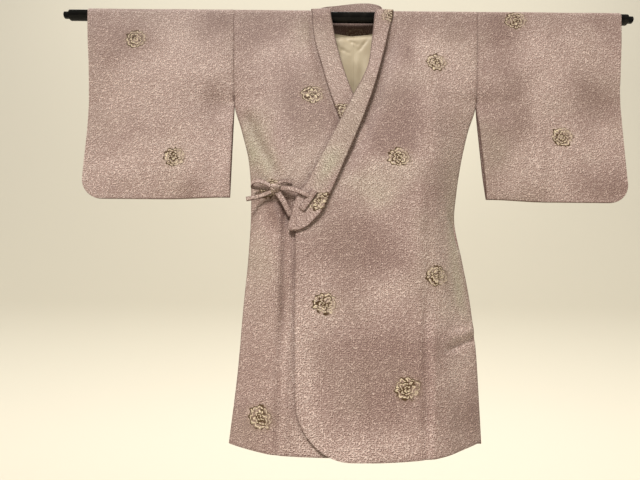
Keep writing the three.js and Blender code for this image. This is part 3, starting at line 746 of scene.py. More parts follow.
def threads_on_ground(tree, cloth, light, beige):
    """A cloudy ground with fine curling threads, and a painted shadow beside each thread."""
    width = tree.between(light, 0.0, 1.0, *THREAD_WIDTHS)

    def curling(places):
        curl = abs(tree.noise(tree.vector("MULTIPLY", places, CURL_STRETCH), CURL_SCALE) - 0.5)
        return tree.fade(curl / width, *CURL_EDGES)
    breaks = tree.vector("MULTIPLY", cloth, BREAK_STRETCH)
    breaks = tree.between(tree.noise(breaks, BREAK_SCALE), *BROKEN)
    threads = curling(cloth) * breaks
    shadow = curling(tree.vector("SUBTRACT", cloth, THREAD_SHADOW)) * breaks
    ground = tree.blend(beige, tree.blend(light, SILK_DARK, SILK_MID), SILK_BEIGE)
    thread = tree.blend(beige, tree.blend(light, THREAD_DIM, THREAD_LIGHT), THREAD_BEIGE)
    return tree.blend(threads, tree.blend(shadow, ground, SHADE), thread), threads


def with_flecks(tree, cloth, colour):
    """Small flecks, each a light dot beside a dark one."""
    def dots(places, size, strength):
        away = tree.add("TexVoronoi", {"Vector": places, "Scale": FLECK_SCALE}, "Distance",
                        voronoi_dimensions="2D")
        return tree.between(away, size, size * SOFT_EDGE, strength, 0.0)
    colour = tree.blend(dots(cloth, *LIGHT_FLECK), colour, THREAD_LIGHT)
    return tree.blend(dots(tree.vector("ADD", cloth, FLECK_ASIDE), *DARK_FLECK), colour, BROWN)


def with_roundels(tree, cloth, colour):
    """A wash of gold, light strokes, and dark lines that are worn away in parts."""
    x, y, near = tree.attribute("motif")
    wobble = tree.noise(cloth, WOBBLE_SCALE, output="Color")
    wobble = tree.vector("MULTIPLY", tree.vector("SUBTRACT", wobble, (0.5, 0.5, 0.5)), WOBBLE)
    place = tree.vector("ADD", tree.add("CombineXYZ", {0: x, 1: y}), wobble)
    strokes, lines, radius = roundel(tree, place)
    worn = tree.between(tree.noise(cloth, WORN_SCALE), *BROKEN, 0.25, 1.0)
    colour = tree.blend(near * tree.between(radius, 0.6, 1.5, 0.16, 0.0), colour, GOLD_WASH)
    colour = tree.blend(near * (strokes * 0.78), colour, GOLD)
    return tree.blend(near * worn * lines, colour, BROWN)


def patterned_silk():
    """Silk with raised curling threads, flecks and roundels over cloudy colour, which also carries painted
    light and shade.
    """
    tree = Tree("patterned_silk")
    cloth = tree.add("UVMap", {}, uv_map="Cloth")
    light, beige, shade = tree.attribute("dye")
    light = tree.between(light, -1.1, 1.1)
    colour, threads = threads_on_ground(tree, cloth, light, beige)
    colour = with_roundels(tree, cloth, with_flecks(tree, cloth, colour))
    tree.bump(threads * 0.6 + tree.noise(cloth, 1500.0), 0.3, 0.0004)
    # The base colour goes towards SHADE by the painted shade.
    tree.set(tree.shader, {
        "Base Color": tree.blend(shade, colour, SHADE), "Roughness": 0.62, "Sheen Weight": 0.15,
        "Sheen Roughness": 0.45, "Sheen Tint": SHEEN_TINT, "Specular IOR Level": 0.3,
    })
    return tree.material


def lining_silk():
    """Plain cream silk with a fine weave and faint creases."""
    tree = Tree("lining_silk")
    cloth = tree.add("UVMap", {}, uv_map="Cloth")
    soft = tree.between(tree.noise(cloth, 14.0, 3.0), 0.35, 0.65)
    weave = tree.add("TexWave", {"Vector": cloth, "Scale": 260.0, "Distortion": 1.5}, "Fac",
                     bands_direction="Y")
    tree.bump(tree.noise(cloth, 38.0, 3.0, 0.6, 0.8) + weave * 0.12, 0.3, 0.0015)
    tree.set(tree.shader, {
        "Base Color": tree.blend(soft, CREAM_DIM, CREAM), "Roughness": 0.5,
        "Specular IOR Level": 0.4, "Sheen Weight": 0.12, "Sheen Roughness": 0.5,
    })
    return tree.material


def black_lacquer():
    """Glossy black lacquer on wood, with faint wear."""
    tree = Tree("black_lacquer")
    place = tree.add("TexCoord", {}, "Object")
    wear = tree.noise(place, 35.0, 4.0, 0.6)
    tree.bump(tree.noise(place, 12.0, 2.0), 0.05, 0.002)
    tree.set(tree.shader, {
        "Base Color": tree.blend(tree.between(wear, 0.45, 0.8), LACQUER, LACQUER_WORN),
        "Roughness": tree.between(wear, 0.3, 0.8, 0.12, 0.26), "Coat Weight": 0.3,
        "Coat Roughness": 0.06, "Specular IOR Level": 0.0,
    })
    return tree.material


SILK, LINING_SILK, BLACK_LACQUER = patterned_silk(), lining_silk(), black_lacquer()


# --- Meshes and walls of cloth ---

BAKE_GAP = 0.012  # between two blocks in the bake's square
OUTER_IN_BAKE = 0.80  # the outer face's share of it
RIM_IN_BAKE = 0.004
RIM_ROUNDING, RIM_WIDEST = 0.35, 3.2  # how far the rim's middle stands out, for each mm of thickness
FACING = 24.0


def mesh_of(name, points, faces, material, smooth_ends=True):
    """A mesh of points in millimetres. Without smooth ends only four-sided faces are smooth."""
    mesh = bpy.data.meshes.new(name)
    mesh.from_pydata((points * MM).tolist(), [], faces)
    mesh.materials.append(material)
    mesh.polygons.foreach_set("use_smooth", [smooth_ends or len(face) == 4 for face in faces])
    return mesh


def add_uv(mesh, name, places):
    mesh.uv_layers.new(name=name).data.foreach_set("uv", places.reshape(-1))


def add_attribute(mesh, name, values):
    attribute = mesh.attributes.new(name, "FLOAT_VECTOR", "POINT")
    attribute.data.foreach_set("vector", values.reshape(-1))


def in_scene(name, data):
    thing = bpy.data.objects.new(name, data)
    bpy.context.scene.collection.objects.link(thing)
    return thing


def placed(name, mesh, node):
    """The mesh as a piece that stands for a node of the frame."""
    mesh.validate()
    piece = in_scene(name, mesh)
    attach(piece, BODY)
    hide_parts(node)
    return piece


def edge_loop(rows, columns):
    """The grid's points round its edge."""
    ids = np.arange(rows * columns).reshape(rows, columns)
    return np.concatenate([ids[0, :-1], ids[:-1, -1], ids[-1, :0:-1], ids[:0:-1, 0]])


def rim_middle(outer, inner, loop):
    """The middle line of the rounded rim."""
    away = np.zeros(outer.shape)
    away[0] += outer[0] - outer[1]
    away[-1] += outer[-1] - outer[-2]
    away[:, 0] += outer[:, 0] - outer[:, 1]
    away[:, -1] += outer[:, -1] - outer[:, -2]
    away, outer, inner = (grid.reshape(-1, 3)[loop] for grid in (away, outer, inner))
    away /= np.linalg.norm(away, axis=1, keepdims=True)
    thick = np.linalg.norm(outer - inner, axis=1, keepdims=True)
    return (outer + inner) / 2 + away * np.minimum(thick, RIM_WIDEST) * RIM_ROUNDING


def wall_faces(rows, columns, loop):
    """The outer face's quads, the inner face's, and the two halves of the rim's."""
    count, around = rows * columns, np.arange(len(loop))
    row, column = (grid.reshape(-1, 1) for grid in np.mgrid[0:rows - 1, 0:columns - 1])
    quads = (row + [0, 0, 1, 1]) * columns + column + [0, 1, 1, 0]
    edge = np.stack([np.roll(loop, -1), loop], 1)
    middle = np.stack([np.roll(around, -1), around], 1) + 2 * count
    outer_rim, inner_rim = np.hstack([edge, middle[:, ::-1]]), np.hstack([middle, edge[:, ::-1] + count])
    return np.concatenate([quads, quads[:, ::-1] + count, outer_rim, inner_rim])


def bake_map(row, column, rows, columns, split):
    """Each face corner's place in the bake's square: one block for the outer face and one for the
    inner one, or two where they are split at a row, and the rim just outside the outer blocks."""
    quads, halves = (rows - 1) * (columns - 1), 2 if split else 1
    rim = len(row) // 2 - quads
    inner = np.repeat([False, True, False], [quads, quads, 2 * rim])[:, None]
    second = (row.min(1) >= split)[:, None] & (split > 0)
    inner_start = OUTER_IN_BAKE + 4 * BAKE_GAP
    width = np.where(inner, (1 - inner_start) / halves - BAKE_GAP, OUTER_IN_BAKE / halves)
    start = np.where(inner, inner_start, BAKE_GAP) + second * (width + BAKE_GAP)
    first, last = np.where(second, split, 0), np.where(second | (split == 0), rows - 1, split)
    u = start + width * column / (columns - 1)
    v = BAKE_GAP + (1 - 2 * BAKE_GAP) * (row - first) / (last - first)
    out = np.repeat([[0, 0, 0, 0], [0, 0, 1, 1], [1, 1, 2, 2]], [2 * quads, rim, rim], axis=0)
    out_u, out_v = (1.0 * (at == size - 1) - (at == 0) for at, size in ((column, columns), (row, rows)))
    return np.stack([u + RIM_IN_BAKE * out * out_u, v + RIM_IN_BAKE * out * out_v], -1)


def cloth_piece(name, outer, inner, place, dye=0.0, *, inside_shade=0.0, lined=None, split=0,
                outside=SILK, slot="silk"):
    """A closed thin wall between two grids of points in millimetres, with rounded edges.

    Place is where each point is on the flat cloth. Lined says which of the inner grid's faces show
    the lining. Split is the row where the bake's map is cut in two.
    """
    rows, columns = outer.shape[:2]
    count, quads = rows * columns, (rows - 1) * (columns - 1)
    loop = edge_loop(rows, columns)
    on_grid = np.concatenate([np.arange(count), np.arange(count), loop])
    points = np.concatenate([outer.reshape(-1, 3), inner.reshape(-1, 3), rim_middle(outer, inner, loop)])
    faces = wall_faces(rows, columns, loop)
    mesh = mesh_of(name, points, faces.tolist(), outside)
    if lined is not None:
        mesh.materials.append(LINING_SILK)
        slots = np.zeros(len(faces), np.int32)
        slots[quads:2 * quads] = lined.ravel()
        mesh.polygons.foreach_set("material_index", slots)

    add_uv(mesh, "OFBake", bake_map(*divmod(on_grid[faces], columns), rows, columns, split))
    add_uv(mesh, "Cloth", place.reshape(-1, 2)[on_grid[faces]] * MM)
    # These values carry the colour's lightness and beige cast, with painted light in them, and painted
    # shade; inside_shade is more painted shade on the inner grid only.
    dyes = np.broadcast_to(dye, (rows, columns, 3)).reshape(-1, 3)[on_grid]
    dyes[count:2 * count, 2] = np.maximum(dyes[count:2 * count, 2], np.ravel(inside_shade))
    add_attribute(mesh, "dye", dyes)
    add_attribute(mesh, "motif", nearest_roundel(name, place).reshape(-1, 3)[on_grid])
    return placed(f"{name}_cloth", mesh, name)


def sheet_piece(name, x, along, sheet, lift, thick=CLOTH, **looks):
    """A wall on both sides of a sheet of points, split in the bake's map where it goes over the rail."""
    place = np.stack(np.broadcast_arrays(x, along), -1)
    split = int(np.argmin(np.abs(along + CREST_ARC / 2)))
    return cloth_piece(name, sheet(lift + thick / 2), sheet(lift - thick / 2), place, split=split, **looks)


def faced(*edges):
    """True on faces that show the lining, further than a facing's width from all free edges."""
    return np.all([(away[:-1, :-1] + away[1:, 1:]) / 2 > FACING for away in edges], axis=0)


# --- Body, overlap panels and neck lining ---

GRID, CREST_GRID, NECK_GRID, LINING_GRID = 6.0, 3.6, 4.0, 3.5
EDGE_ROWS = np.array([0.0, 1.2, 3.5])  # rows this far from a hem
NECK_DEPTH = 70  # the back is finer down to here
PANEL_WIDTH, OVERLAP_WIDTH = 260, 148
# The painted shadow of the left front's edge on the right front: how dark, how fast it fades and from
# where along.
LEFT_FRONT_PAINTED_SHADOW = Named(shade=0.32, fade=7, starts=150)
# The painted shadow of the bow's knot on the right front: strength, place, and width and height.
BOW_PAINTED_SHADOW = Named(shade=0.32, x=-154, along=496, wide=20, tall=26)


def body_inner_x(side, along):
    """Under the collar, along the overlap panel's seam, and at the back's neckline and centre seam."""
    inwards = INWARDS[side]
    under_collar = LEG[side].seam(np.maximum(along, 0)) + inwards * TUCK
    at_seam = OVERLAP[side].seam(along) - inwards * SEAM / 2
    into_seam = np.clip((along - OVERLAP_STARTS) / (OVERLAP_TOP - OVERLAP_STARTS), 0, 1)
    neck = getattr(NECK_CUT, side)(np.maximum(0, -along - CREST_ARC))
    over_crest = np.clip(-along / (CREST_ARC / 6), 0, 1)
    return mix(mix(under_collar, at_seam, into_seam), neck, over_crest)


def body_press(side, x, along, down):
    """Lift by the folds, and on the front by the collar that lies on it."""
    front_lift = fold_lift(FOLDS[side], x, down) + beside_collar("left", x, down)
    if side == "right":
        front_lift = front_lift + beside_collar("right", x, down)
    return np.where(along >= 0, front_lift, fold_lift(FOLDS["back"], x, down))


def body_relief(side, x, along, down, from_inner, from_side):
    """The whole lift: folds, ripples and seams."""
    name = f"body_{side}"
    seed = seed_of(name)
    free = ramp(down, 30, 230) * ramp(from_side, 0, 45) * ramp(from_inner, 0, 30)
    lift = body_press(side, x, along, down) + ripples(x, along, name) * free
    lift = lift + seam_dip(from_side, along, seed) * np.where(down > 2, 1, 0.5)
    sewn_inside = (along > OVERLAP_TOP) | (along < -CREST_ARC - LINING_TOP)
    return lift + 0.4 * seam_dip(from_inner, along, seed + 3) * sewn_inside


def body_rows(side):
    """Closer together at the hems, over the rail and at the neck."""
    length, back_length, last = HEM_LENGTH[side], HEM_LENGTH["back"], EDGE_ROWS[-1]
    front = joined(length - EDGE_ROWS, steps(length - last - GRID / 2, 0, GRID))
    down_back = joined(
        steps(0, NECK_DEPTH, NECK_GRID), steps(NECK_DEPTH, back_length - last, GRID),
        back_length - EDGE_ROWS[::-1],
    )
    return joined(front, steps(0, -CREST_ARC, CREST_GRID), -CREST_ARC - down_back)


def painted_shadows_on_right_front(x, along, down):
    """Painted shadows on the right front: beside the left front's edge, and around the bow."""
    cover = np.where(down < COLLAR_END - 10, LEG["left"].free(down), overlap_edge("left", down))
    shade = LEFT_FRONT_PAINTED_SHADOW.shade * np.exp(-np.maximum(0, cover - x) / LEFT_FRONT_PAINTED_SHADOW.fade)
    bow = bell(x - BOW_PAINTED_SHADOW.x, BOW_PAINTED_SHADOW.wide) * bell(along - BOW_PAINTED_SHADOW.along, BOW_PAINTED_SHADOW.tall)
    return np.maximum(shade * (along > LEFT_FRONT_PAINTED_SHADOW.starts), BOW_PAINTED_SHADOW.shade * bow)


def body_panel(side):
    """Front and back in one, over the shoulder."""
    along, share = body_rows(side)[:, None], edged(PANEL_WIDTH, GRID)[None, :]
    down = below_rail(along)
    start, end = body_inner_x(side, along), SIDE_EDGE[side](down)
    x = mix(start, end, share)
    from_inner, from_side = np.abs(x - start), np.abs(end - x)
    from_back_hem = np.abs(along + CREST_ARC + HEM_LENGTH["back"])
    from_hem = np.minimum(np.abs(HEM_LENGTH[side] - along), from_back_hem) + 0 * x
    from_armhole = np.where(down < ARMHOLE_END, from_side, from_side + 18)
    # Painted shade along the side seams and hems, in the folds' troughs and over the rail.
    shade = strongest(
        edge_shade("side", from_side), edge_shade("hem", from_hem),
        fold_shade(body_press(side, x, along, down)), turn_shade(along),
    )
    if side == "right":
        shade = np.maximum(shade, painted_shadows_on_right_front(x, along, down))
    return sheet_piece(
        f"body_{side}", x, along, partial(coat_point, side, x, along),
        body_relief(side, x, along, down, from_inner, from_side),
        lined=faced(from_hem, from_armhole),
        dye=dyed("front", x, down + BACK_PLACES * (along < 0), "body", shade),
    )


def overlap_edge(side, down):
    """The free edge's x, with its rounded corner at the hem."""
    cut = corner_cut(down, HEM_LENGTH[side], OVERLAP_CORNER)
    return OVERLAP[side].edge(down) - INWARDS[side] * cut


def overlap_panel(side):
    """Narrow at its top under the collar, then straight to its rounded corner."""
    name = f"overlap_{side}"
    inwards, length = INWARDS[side], HEM_LENGTH[side]
    straight = steps(OVERLAP_TOP, length - OVERLAP_CORNER, GRID)
    down = joined(straight, corner_rows(length, OVERLAP_CORNER, 30))[:, None]
    seam = OVERLAP[side].seam(down) + inwards * SEAM / 2
    under_collar = inwards * LEG[side].seam(down) + TUCK
    reach = inwards * overlap_edge(side, down)
    reach = np.where(down < COLLAR_END, np.minimum(under_collar, reach), reach)
    x = mix(seam, inwards * reach, edged(OVERLAP_WIDTH, GRID)[None, :])
    from_seam, from_edge = np.abs(x - seam), np.abs(inwards * reach - x)
    from_hem = np.abs(length - down) + 0 * x
    pressed = fold_lift(FOLDS[side], x, down) + beside_collar("left", x, down)
    lift = pressed + 0.6 * ripples(x, down, f"body_{side}") * ramp(from_edge, 0, 30)
    lift = lift + 0.4 * seam_dip(from_seam, down, seed_of(name))
    # Painted shade along the seam, along the hem and free edge, and in the folds' troughs.
    shade = strongest(
        edge_shade("overlap_seam", from_seam), edge_shade("hem", np.minimum(from_hem, from_edge)),
        fold_shade(pressed),
    )
    return sheet_piece(
        name, x, down, partial(coat_point, side, x, down), lift,
        lined=faced(from_hem, np.where(down > COLLAR_END, from_edge, np.inf)),
        dye=dyed("front", x, down, "body", shade),
    )


NECK_SLACK = 4.5


def neck_lining(side):
    """Half of the lining where the neck shows it, on the inside of the back."""
    down = steps(LINING_TOP, LINING_BOTTOM, LINING_GRID)[:, None]
    along = -CREST_ARC - down
    start, end = body_inner_x(side, along), SIDE_EDGE[side](down)
    x = mix(start, mix(start, end, LINING_SHARE), edged(110, LINING_GRID)[None, :])
    slant = LINING_SLANT * (x - CENTRE_BACK) * ease(1 - (down - LINING_TOP) / 60)
    lift = body_relief(side, x, along, down, np.abs(x - start), np.abs(end - x))
    lift = lift - (CLOTH / 2 + SEAM + LINING / 2) - fold_lift(FOLDS["neck"], x, down)
    lift = lift - NECK_SLACK * ramp(down, LINING_TOP, LINING_TOP + 14)
    lift = lift - 0.5 * ramp(down, 45, 65) * (1 + value_noise(x, down, 14, 30, 5))
    return sheet_piece(
        f"lining_{side}", x, along, partial(coat_point, side, x, along + slant), lift, LINING,
        outside=LINING_SILK, slot="lining",
    )


# --- Collar ---

LEG_ROWS = np.array([554, 546, 530, 506, 475, 450, 415, 380, 340, 300, 270, 225, 180, 140, 100, 60, 30, 0])
COLLAR_WIDTH, COLLAR_GRID, COLLAR_ALONG, COLLAR_FINE = 46, 3.2, 4.5, (1.0, 2.4)
NECK_REACH = 130  # each way along the band from the middle of the neck
CROWN, INNER_PUFF = 0.5, 0.2
COLLAR_WAVES, NECK_WAVES = [(0.35, 70, 30, 11)], [(0.9, 26, 40, 12)]
# Painted shade on the collar at the neck: on its inside, from near the seam to near the free edge, the two
# places between which it changes, and a little on its outside.
NECK_SHADE, NECK_SHADE_ENDS, NECK_OUTSIDE_PAINTED_SHADE = (0.76, 0.12), (44, 50), 0.12


def leg_edge(side, edge):
    """The right leg sinks into the hollow that the left one makes."""
    x = getattr(LEG[side], edge)(LEG_ROWS)
    sunk = beside_collar("left", x, LEG_ROWS) if side == "right" else 0
    return coat_point(side, x, LEG_ROWS, ON_CLOTH + sunk)


def band_edge(edge, turn):
    """Up the right leg, round the neck and down the left leg."""
    return np.concatenate([leg_edge("right", edge), turn, leg_edge("left", edge)[::-1]])


def collar_band():
    """One band with soft waves, with painted shade inside at the neck and along its edges."""
    seam = band_edge("seam", coat_point("right", NECK_TURN.seam, NECK_TURN.along, ON_CLOTH))
    free = band_edge("free", np.stack([NECK_TURN.free_x, NECK_TURN.free_y, NECK_TURN.free_z], -1))
    at = lengths((seam + free) / 2)
    where = steps(0, at[-1], COLLAR_ALONG)
    seam, free = resample(at, seam, where), resample(at, free, where)
    share = edged(COLLAR_WIDTH, COLLAR_GRID, COLLAR_FINE)
    width = np.linalg.norm(free - seam, axis=1)[:, None]
    across, down = np.broadcast_arrays(share * width, where[:, None])
    in_neck = bell(down - at[-1] / 2, NECK_REACH)
    puff = CROWN * (1 - (2 * share - 1) ** 2) + noises(down, across, 0, COLLAR_WAVES)
    puff = (puff + in_neck * noises(down, across, 0, NECK_WAVES))[..., None]
    grid = spanned(seam, free, share)
    out = -normals(grid)
    # Painted shade: inside at the neck, along both edges, and a little outside at the neck.
    inside = mix(*NECK_SHADE, ramp(across, *NECK_SHADE_ENDS))
    edges = edge_shade("collar", across) + edge_shade("collar", width - across)
    return cloth_piece(
        "collar", grid + out * (COLLAR / 2 + puff), grid - out * (COLLAR / 2 - INNER_PUFF * puff),
        np.stack([across + COLLAR_PLACES, down], -1),
        dyed("collar", across, down, "collar", np.maximum(edges, NECK_OUTSIDE_PAINTED_SHADE * in_neck ** 3)),
        inside_shade=inside * in_neck ** 3, split=len(where) // 2,
    )


# --- Sleeves ---

SLEEVE_WIDTH = 350
FOOT = Named(down=222, wide=3.5, tall=14)  # the painted shade where the armhole's seam ends


def sleeve_relief(side, x, along, from_inner, from_outer, from_bottom):
    name, down = f"sleeve_{side}", below_rail(along)
    folds = fold_lift(FOLDS[name], x, down) * ramp(from_bottom, 0, 12)
    free = ramp(from_outer, 0, 30) * ramp(from_bottom, 0, 40) * ramp(down, 20, 110)
    relief = (folds + ripples(x, along, name)) * free * ramp(from_inner, 0, 30)
    relief = relief + seam_dip(from_inner, along, seed_of(name)) * (down < ARMHOLE_END)
    soft = value_noise(x, along, 60, 60, 4) * ramp(from_bottom, 0, 10) * ramp(from_outer, 0, 25)
    return relief + 0.4 * soft


# Painted shade along the armhole seam and the opening, at the armhole's foot, along the bottom and over
# the rail.
def sleeve_shade(side, along, from_inner, from_bottom):
    down = below_rail(along)
    sewn, opening = edge_shade("side", from_inner), edge_shade(f"{side}_opening", from_inner)
    foot = bell(from_inner, FOOT.wide) * bell(down - FOOT.down, FOOT.tall) * (along >= 0)
    armhole = np.where(down < ARMHOLE_END, sewn, opening)
    return strongest(armhole, foot, edge_shade("sleeve_bottom", from_bottom), turn_shade(along))


def sleeve(side):
    """One length of cloth over the rail, sewn together at the bottom."""
    name, inwards = f"sleeve_{side}", INWARDS[side]
    corner = corner_rows(SLEEVE_BOTTOM, SLEEVE_CORNER, 16)[::-1]
    front = joined(corner, steps(corner[-1], 0, GRID))
    along = joined(front, steps(0, -CREST_ARC, CREST_GRID), -CREST_ARC - front[::-1])[:, None]
    share, down = edged(SLEEVE_WIDTH, GRID)[None, :], below_rail(along)
    start = getattr(SLEEVE, f"{side}_inner")(down) - inwards * SEAM
    cut = corner_cut(down, SLEEVE_BOTTOM, SLEEVE_CORNER)
    end = getattr(SLEEVE, f"{side}_outer")(down) + inwards * cut
    x = mix(start, end, share)
    gap = mix(SLEEVE.gap_inner(down), SLEEVE.gap_middle(down), ramp(share, 0, 0.4))
    gap = mix(gap, SLEEVE.gap_outer(down), ramp(share, 0.5, 1))
    hang = SLEEVE.swing(down) * ramp(share, 0, 0.5)
    from_inner, from_outer, from_bottom = np.abs(x - start), np.abs(x - end), SLEEVE_BOTTOM - down + 0 * x

    def sheet(lift):
        facing = np.where(along >= 0, -1, 1)
        hanging = np.stack([x, hang + facing * (gap + lift), -down + 0 * x], -1)
        on_crest = (along < 0) & (along > -CREST_ARC)
        return np.where(on_crest[..., None], coat_point(side, x, along, lift), hanging)
    return sheet_piece(
        name, x, along, sheet, sleeve_relief(side, x, along, from_inner, from_outer, from_bottom),
        lined=faced(from_inner, from_outer),
        dye=dyed(name, x, down + BACK_PLACES * (along < 0), name,
                 sleeve_shade(side, along, from_inner, from_bottom)),
    )


# --- Ties ---

TIE_WIDTH = {"tab": 15, "upper": 11, "lower": 13, "tail": 10, "stub": 8}
STATION = "x down lift"
TIE = {
    "tab": table(STATION, (-77, 464, 13.8), (-91, 486, 13.8), (-105, 507, 13.8)),
    "upper": table(
        STATION, (-90, 477, 15.4), (-104, 470, 15.8), (-124, 462, 13), (-141, 458, 9), (-151, 457, 5.5)),
    "lower": table(STATION, (-127, 520, 6.4), (-135, 505, 7), (-144, 488, 7.5), (-158.3, 466.6, 9)),
    "tail": table(STATION, (-172.2, 465.2, 13), (-191, 468, 12), (-210, 471, 18), (-229, 475, 28)),
    "stub": table(STATION, (-156.7, 446.3, 8), (-143, 441, 6), (-129, 444, 5)),
}
LOOP_WIDTH, LOOP_SLOPE = 11, 3
TIE_LOOP = table(
    STATION,
    (-174.4, 446, 15), (-190, 436, 20), (-206, 431, 24), (-217, 432, 23), (-220, 436, 17),
    (-211, 440, 12), (-193, 444, 9), (-174.5, 450, 7),
)
KNOT = Named(x=-163, down=457, lift=11.2, wide=11, tall=10, deep=8.5)
KNOT_WRAP = Named(way=(0.62, 0.10, 0.78), half=0.48, soft=0.16, groove_at=0.52, groove=0.07)
KNOT_ROUND, KNOT_ROWS, KNOT_TOP = 48, 32, 0.04
STRAP_COLUMNS, STRAP_GRID, STRAP_PLACES = 9, 1.6, 7


def tie_points(stations):
    """Points that stand out from the right front."""
    x, down = stations.x, stations.down
    return np.stack([x, front_y(x, down) - stations.lift, row_z(x, down, "right")], -1)


def tie_line(stations):
    """A smooth curve's points through the stations."""
    points = tie_points(stations)
    at = lengths(points)
    return resample(at, points, steps(0, at[-1], STRAP_GRID))


def strap_piece(name, start, end):
    """A strap with soft rounded edges, and painted shade along them."""
    share, seed = np.linspace(0, 1, STRAP_COLUMNS), seed_of(name)
    grid = spanned(start, end, share)
    width = np.linalg.norm(end - start, axis=1)[:, None]
    down = lengths(grid[:, STRAP_COLUMNS // 2])[:, None]
    across, down = np.broadcast_arrays(share * width + seed * STRAP_PLACES, down)
    out, full = normals(grid), 1 - (2 * share - 1) ** 4
    half = STRAP / 4 * (1 + full)
    crumple = 0.5 * value_noise(down, across, 9, 5, seed) * full
    edges = edge_shade("strap", width * (0.5 - np.abs(share - 0.5)))
    return cloth_piece(
        name, grid + out * (half + crumple)[..., None], grid - out * (half - crumple)[..., None],
        np.stack([across, down], -1), dyed("strap", across, down, name, edges),
    )


def strap(key):
    """A flat strap along its stations, facing the front."""
    spine = tie_line(TIE[key])
    ahead = np.gradient(spine, axis=0)
    across = np.stack([ahead[:, 2], 0 * ahead[:, 0], -ahead[:, 0]], -1)
    across *= TIE_WIDTH[key] / 2 / np.linalg.norm(across, axis=1, keepdims=True)
    return strap_piece(f"tie_{key}", spine + across, spine - across)


def bow_loop():
    """A strap bent back on itself, with its width upright."""
    upper = tie_line(TIE_LOOP)
    return strap_piece("tie_loop", upper, upper - np.array([0, LOOP_SLOPE, LOOP_WIDTH]))


def ringed_mesh(name, rings, material, smooth_ends):
    """A closed mesh over rings of points, with a flat face at each end."""
    ids = np.arange(rings[..., 0].size).reshape(rings.shape[:2])
    beside = np.roll(ids, -1, 1)
    quads = np.stack([ids[:-1], beside[:-1], beside[1:], ids[1:]], -1).reshape(-1, 4)
    faces = [*quads.tolist(), ids[0][::-1].tolist(), ids[-1].tolist()]
    return mesh_of(name, rings.reshape(-1, 3), faces, material, smooth_ends)


def bow_knot():
    """A ball of cloth with a broad wrap across it."""
    turn = np.linspace(0, 2 * math.pi, KNOT_ROUND, endpoint=False)[None, :]
    tilt = np.linspace(math.pi - KNOT_TOP, KNOT_TOP, KNOT_ROWS)[:, None]
    way = np.stack(np.broadcast_arrays(
        np.sin(tilt) * np.cos(turn), np.sin(tilt) * np.sin(turn), np.cos(tilt)), -1)
    across = way @ np.array(KNOT_WRAP.way)
    wrap = ease((KNOT_WRAP.half - np.abs(across)) / KNOT_WRAP.soft)
    groove = bell(np.abs(across) - KNOT_WRAP.groove_at, KNOT_WRAP.groove)
    plies = 0.03 * np.cos(15 * across) + 0.05 * np.cos(3 * turn + 5 * tilt) * (1 - wrap)
    size = 0.90 + 0.13 * wrap - 0.14 * groove + plies
    points = way * size[..., None] * [KNOT.wide, KNOT.deep, KNOT.tall] + tie_points(KNOT)
    mesh = ringed_mesh("tie_knot", points, SILK, smooth_ends=True)
    corners = np.concatenate([list(face.vertices) for face in mesh.polygons])
    add_uv(mesh, "Cloth", points.reshape(-1, 3)[corners][:, [0, 2]] * MM)
    # Painted shade in the knot's grooves.
    add_attribute(mesh, "dye", np.stack([0.35 + 0 * groove, 0.1 + 0 * groove, 0.6 * groove], -1))
    add_attribute(mesh, "motif", np.zeros(points.shape))
    return placed("tie_knot_cloth", mesh, "tie_knot")


# --- Rail ---

RAIL_ROUND, RAIL_STEP = 64, 60
RAIL_TIP, RAIL_TIP_RADIUS = 14.0, 8.5
RAIL_EDGE = 1.0  # how far the rail's edges are rounded


def rail():
    """The round lacquered rail, with a short thin tip at each end."""
    half, edge = RAIL_END - RAIL_TIP, RAIL_EDGE
    left_end = [
        (RAIL_TIP_RADIUS - edge, -RAIL_END), (RAIL_TIP_RADIUS, edge - RAIL_END),
        (RAIL_TIP_RADIUS, -half), (RAIL_RADIUS - edge, -half),
        (RAIL_RADIUS - 0.3 * edge, 0.3 * edge - half), (RAIL_RADIUS, edge - half),
    ]
    between = [(RAIL_RADIUS, x) for x in steps(edge - half, half - edge, RAIL_STEP)[1:-1]]
    right_end = [(radius, -x) for radius, x in left_end[::-1]]
    radius, x = np.array([*left_end, *between, *right_end]).T[..., None]
    turn = np.linspace(0, 2 * math.pi, RAIL_ROUND, endpoint=False)
    rings = np.stack([x + 0 * turn, radius * np.cos(turn), radius * np.sin(turn)], -1)
    mesh = ringed_mesh("rail_lacquered", rings, BLACK_LACQUER, smooth_ends=False)
    return placed("rail_lacquered", mesh, "rail")


# --- The coat ---

PIECES = {
    **{f"body_{side}": body_panel(side) for side in SIDES},
    **{f"overlap_{side}": overlap_panel(side) for side in SIDES},
    **{f"sleeve_{side}": sleeve(side) for side in SIDES},
    "collar": collar_band(),
    **{f"lining_{side}": neck_lining(side) for side in SIDES},
    "tie_loop": bow_loop(),
    **{f"tie_{key}": strap(key) for key in TIE},
}
bow_knot()
rail()


# --- Stage, light and camera, in metres ---

STAGE_COLOUR = (0.56, 0.525, 0.44, 1)
FLOOR_Z, FLOOR_FRONT, STAGE_HALF = -1.65, -3.4, 6.0
WALL_Y, WALL_TOP, SWEEP = 3.1, 3.2, 1.2  # the sweep is the radius between the floor and the wall
ROOM_COLOUR, ROOM_STRENGTH = (1.0, 0.96, 0.87, 1), 0.27
SUN_WAY, SUN_COLOUR, SUN_STRENGTH, SUN_SIZE = (0.25, 0.54, -0.80), (1.0, 0.975, 0.93), 3.7, 18
LAMP_COLOUR = (1.0, 0.97, 0.91)
CAMERA_PLACE, CAMERA_PITCH, CAMERA_ROLL = (-65, -1042, -786), 12.2, 0.5  # millimetres and degrees
SENSOR_WIDTH, LENS = 36, 27.06


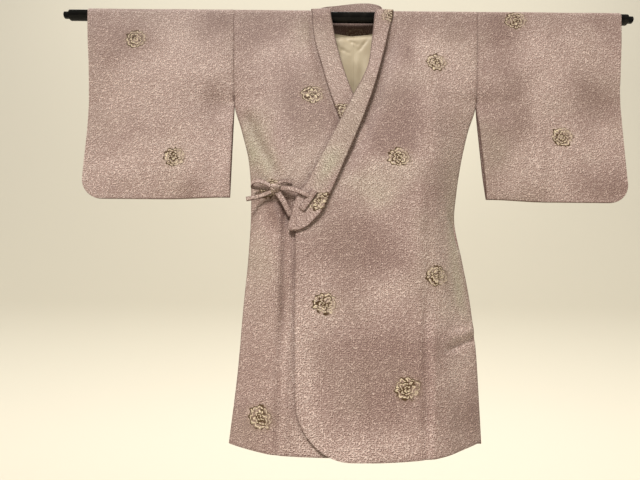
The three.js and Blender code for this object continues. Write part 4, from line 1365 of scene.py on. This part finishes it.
def stage():
    """A pale floor that sweeps up into a backdrop far behind the coat."""
    bend = np.linspace(0, math.pi / 2, 24)
    y = np.concatenate([[FLOOR_FRONT], WALL_Y - SWEEP + SWEEP * np.sin(bend), [WALL_Y]])
    z = np.concatenate([[FLOOR_Z], FLOOR_Z + SWEEP * (1 - np.cos(bend)), [WALL_TOP]])
    points = [(x, *across) for across in zip(y, z) for x in (-STAGE_HALF, STAGE_HALF)]
    faces = [(2 * i, 2 * i + 1, 2 * i + 3, 2 * i + 2) for i in range(len(y) - 1)]
    tree = Tree("studio_floor")
    tree.set(tree.shader, {"Base Color": STAGE_COLOUR, "Roughness": 0.9})
    mesh = mesh_of("studio_floor", np.array(points) / MM, faces, tree.material)
    in_scene("studio_floor", mesh)


def area_light(name, place, target, size, power):
    light = bpy.data.lights.new(name, "AREA")
    light.shape = "RECTANGLE"
    light.size, light.size_y = size
    light.energy, light.color = power, LAMP_COLOUR
    lamp = in_scene(name, light)
    lamp.location = place
    lamp.rotation_euler = (Vector(target) - Vector(place)).to_track_quat("-Z", "Y").to_euler()


def lights():
    """One soft sun, a soft room, and two weak lamps behind the coat and on the backdrop."""
    world = bpy.data.worlds.new("soft_room")
    world.use_nodes = True
    background = world.node_tree.nodes["Background"].inputs
    background["Color"].default_value, background["Strength"].default_value = ROOM_COLOUR, ROOM_STRENGTH
    bpy.context.scene.world = world
    sun = bpy.data.lights.new("key", "SUN")
    sun.energy, sun.color, sun.angle = SUN_STRENGTH, SUN_COLOUR, math.radians(SUN_SIZE)
    in_scene("key", sun).rotation_euler = Vector(SUN_WAY).to_track_quat("-Z", "Y").to_euler()
    area_light("back", (0.4, 2.3, 2.6), (0, 0, -0.5), (1.8, 1.2), 68)
    area_light("on_backdrop", (0, 1.6, 3.1), (0, 3.1, 1.7), (5.5, 0.5), 38)


def camera():
    """Low, near the coat's hem, looking up at it."""
    data = bpy.data.cameras.new("camera")
    data.sensor_width, data.lens = SENSOR_WIDTH, LENS
    view = in_scene("camera", data)
    pitch = Matrix.Rotation(math.radians(90 + CAMERA_PITCH), 4, "X")
    roll = Matrix.Rotation(math.radians(CAMERA_ROLL), 4, "Z")
    view.matrix_world = Matrix.Translation(Vector(CAMERA_PLACE) * MM) @ pitch @ roll
    bpy.context.scene.camera = view


stage()
lights()
camera()
bpy.context.scene.view_settings.view_transform = "Standard"
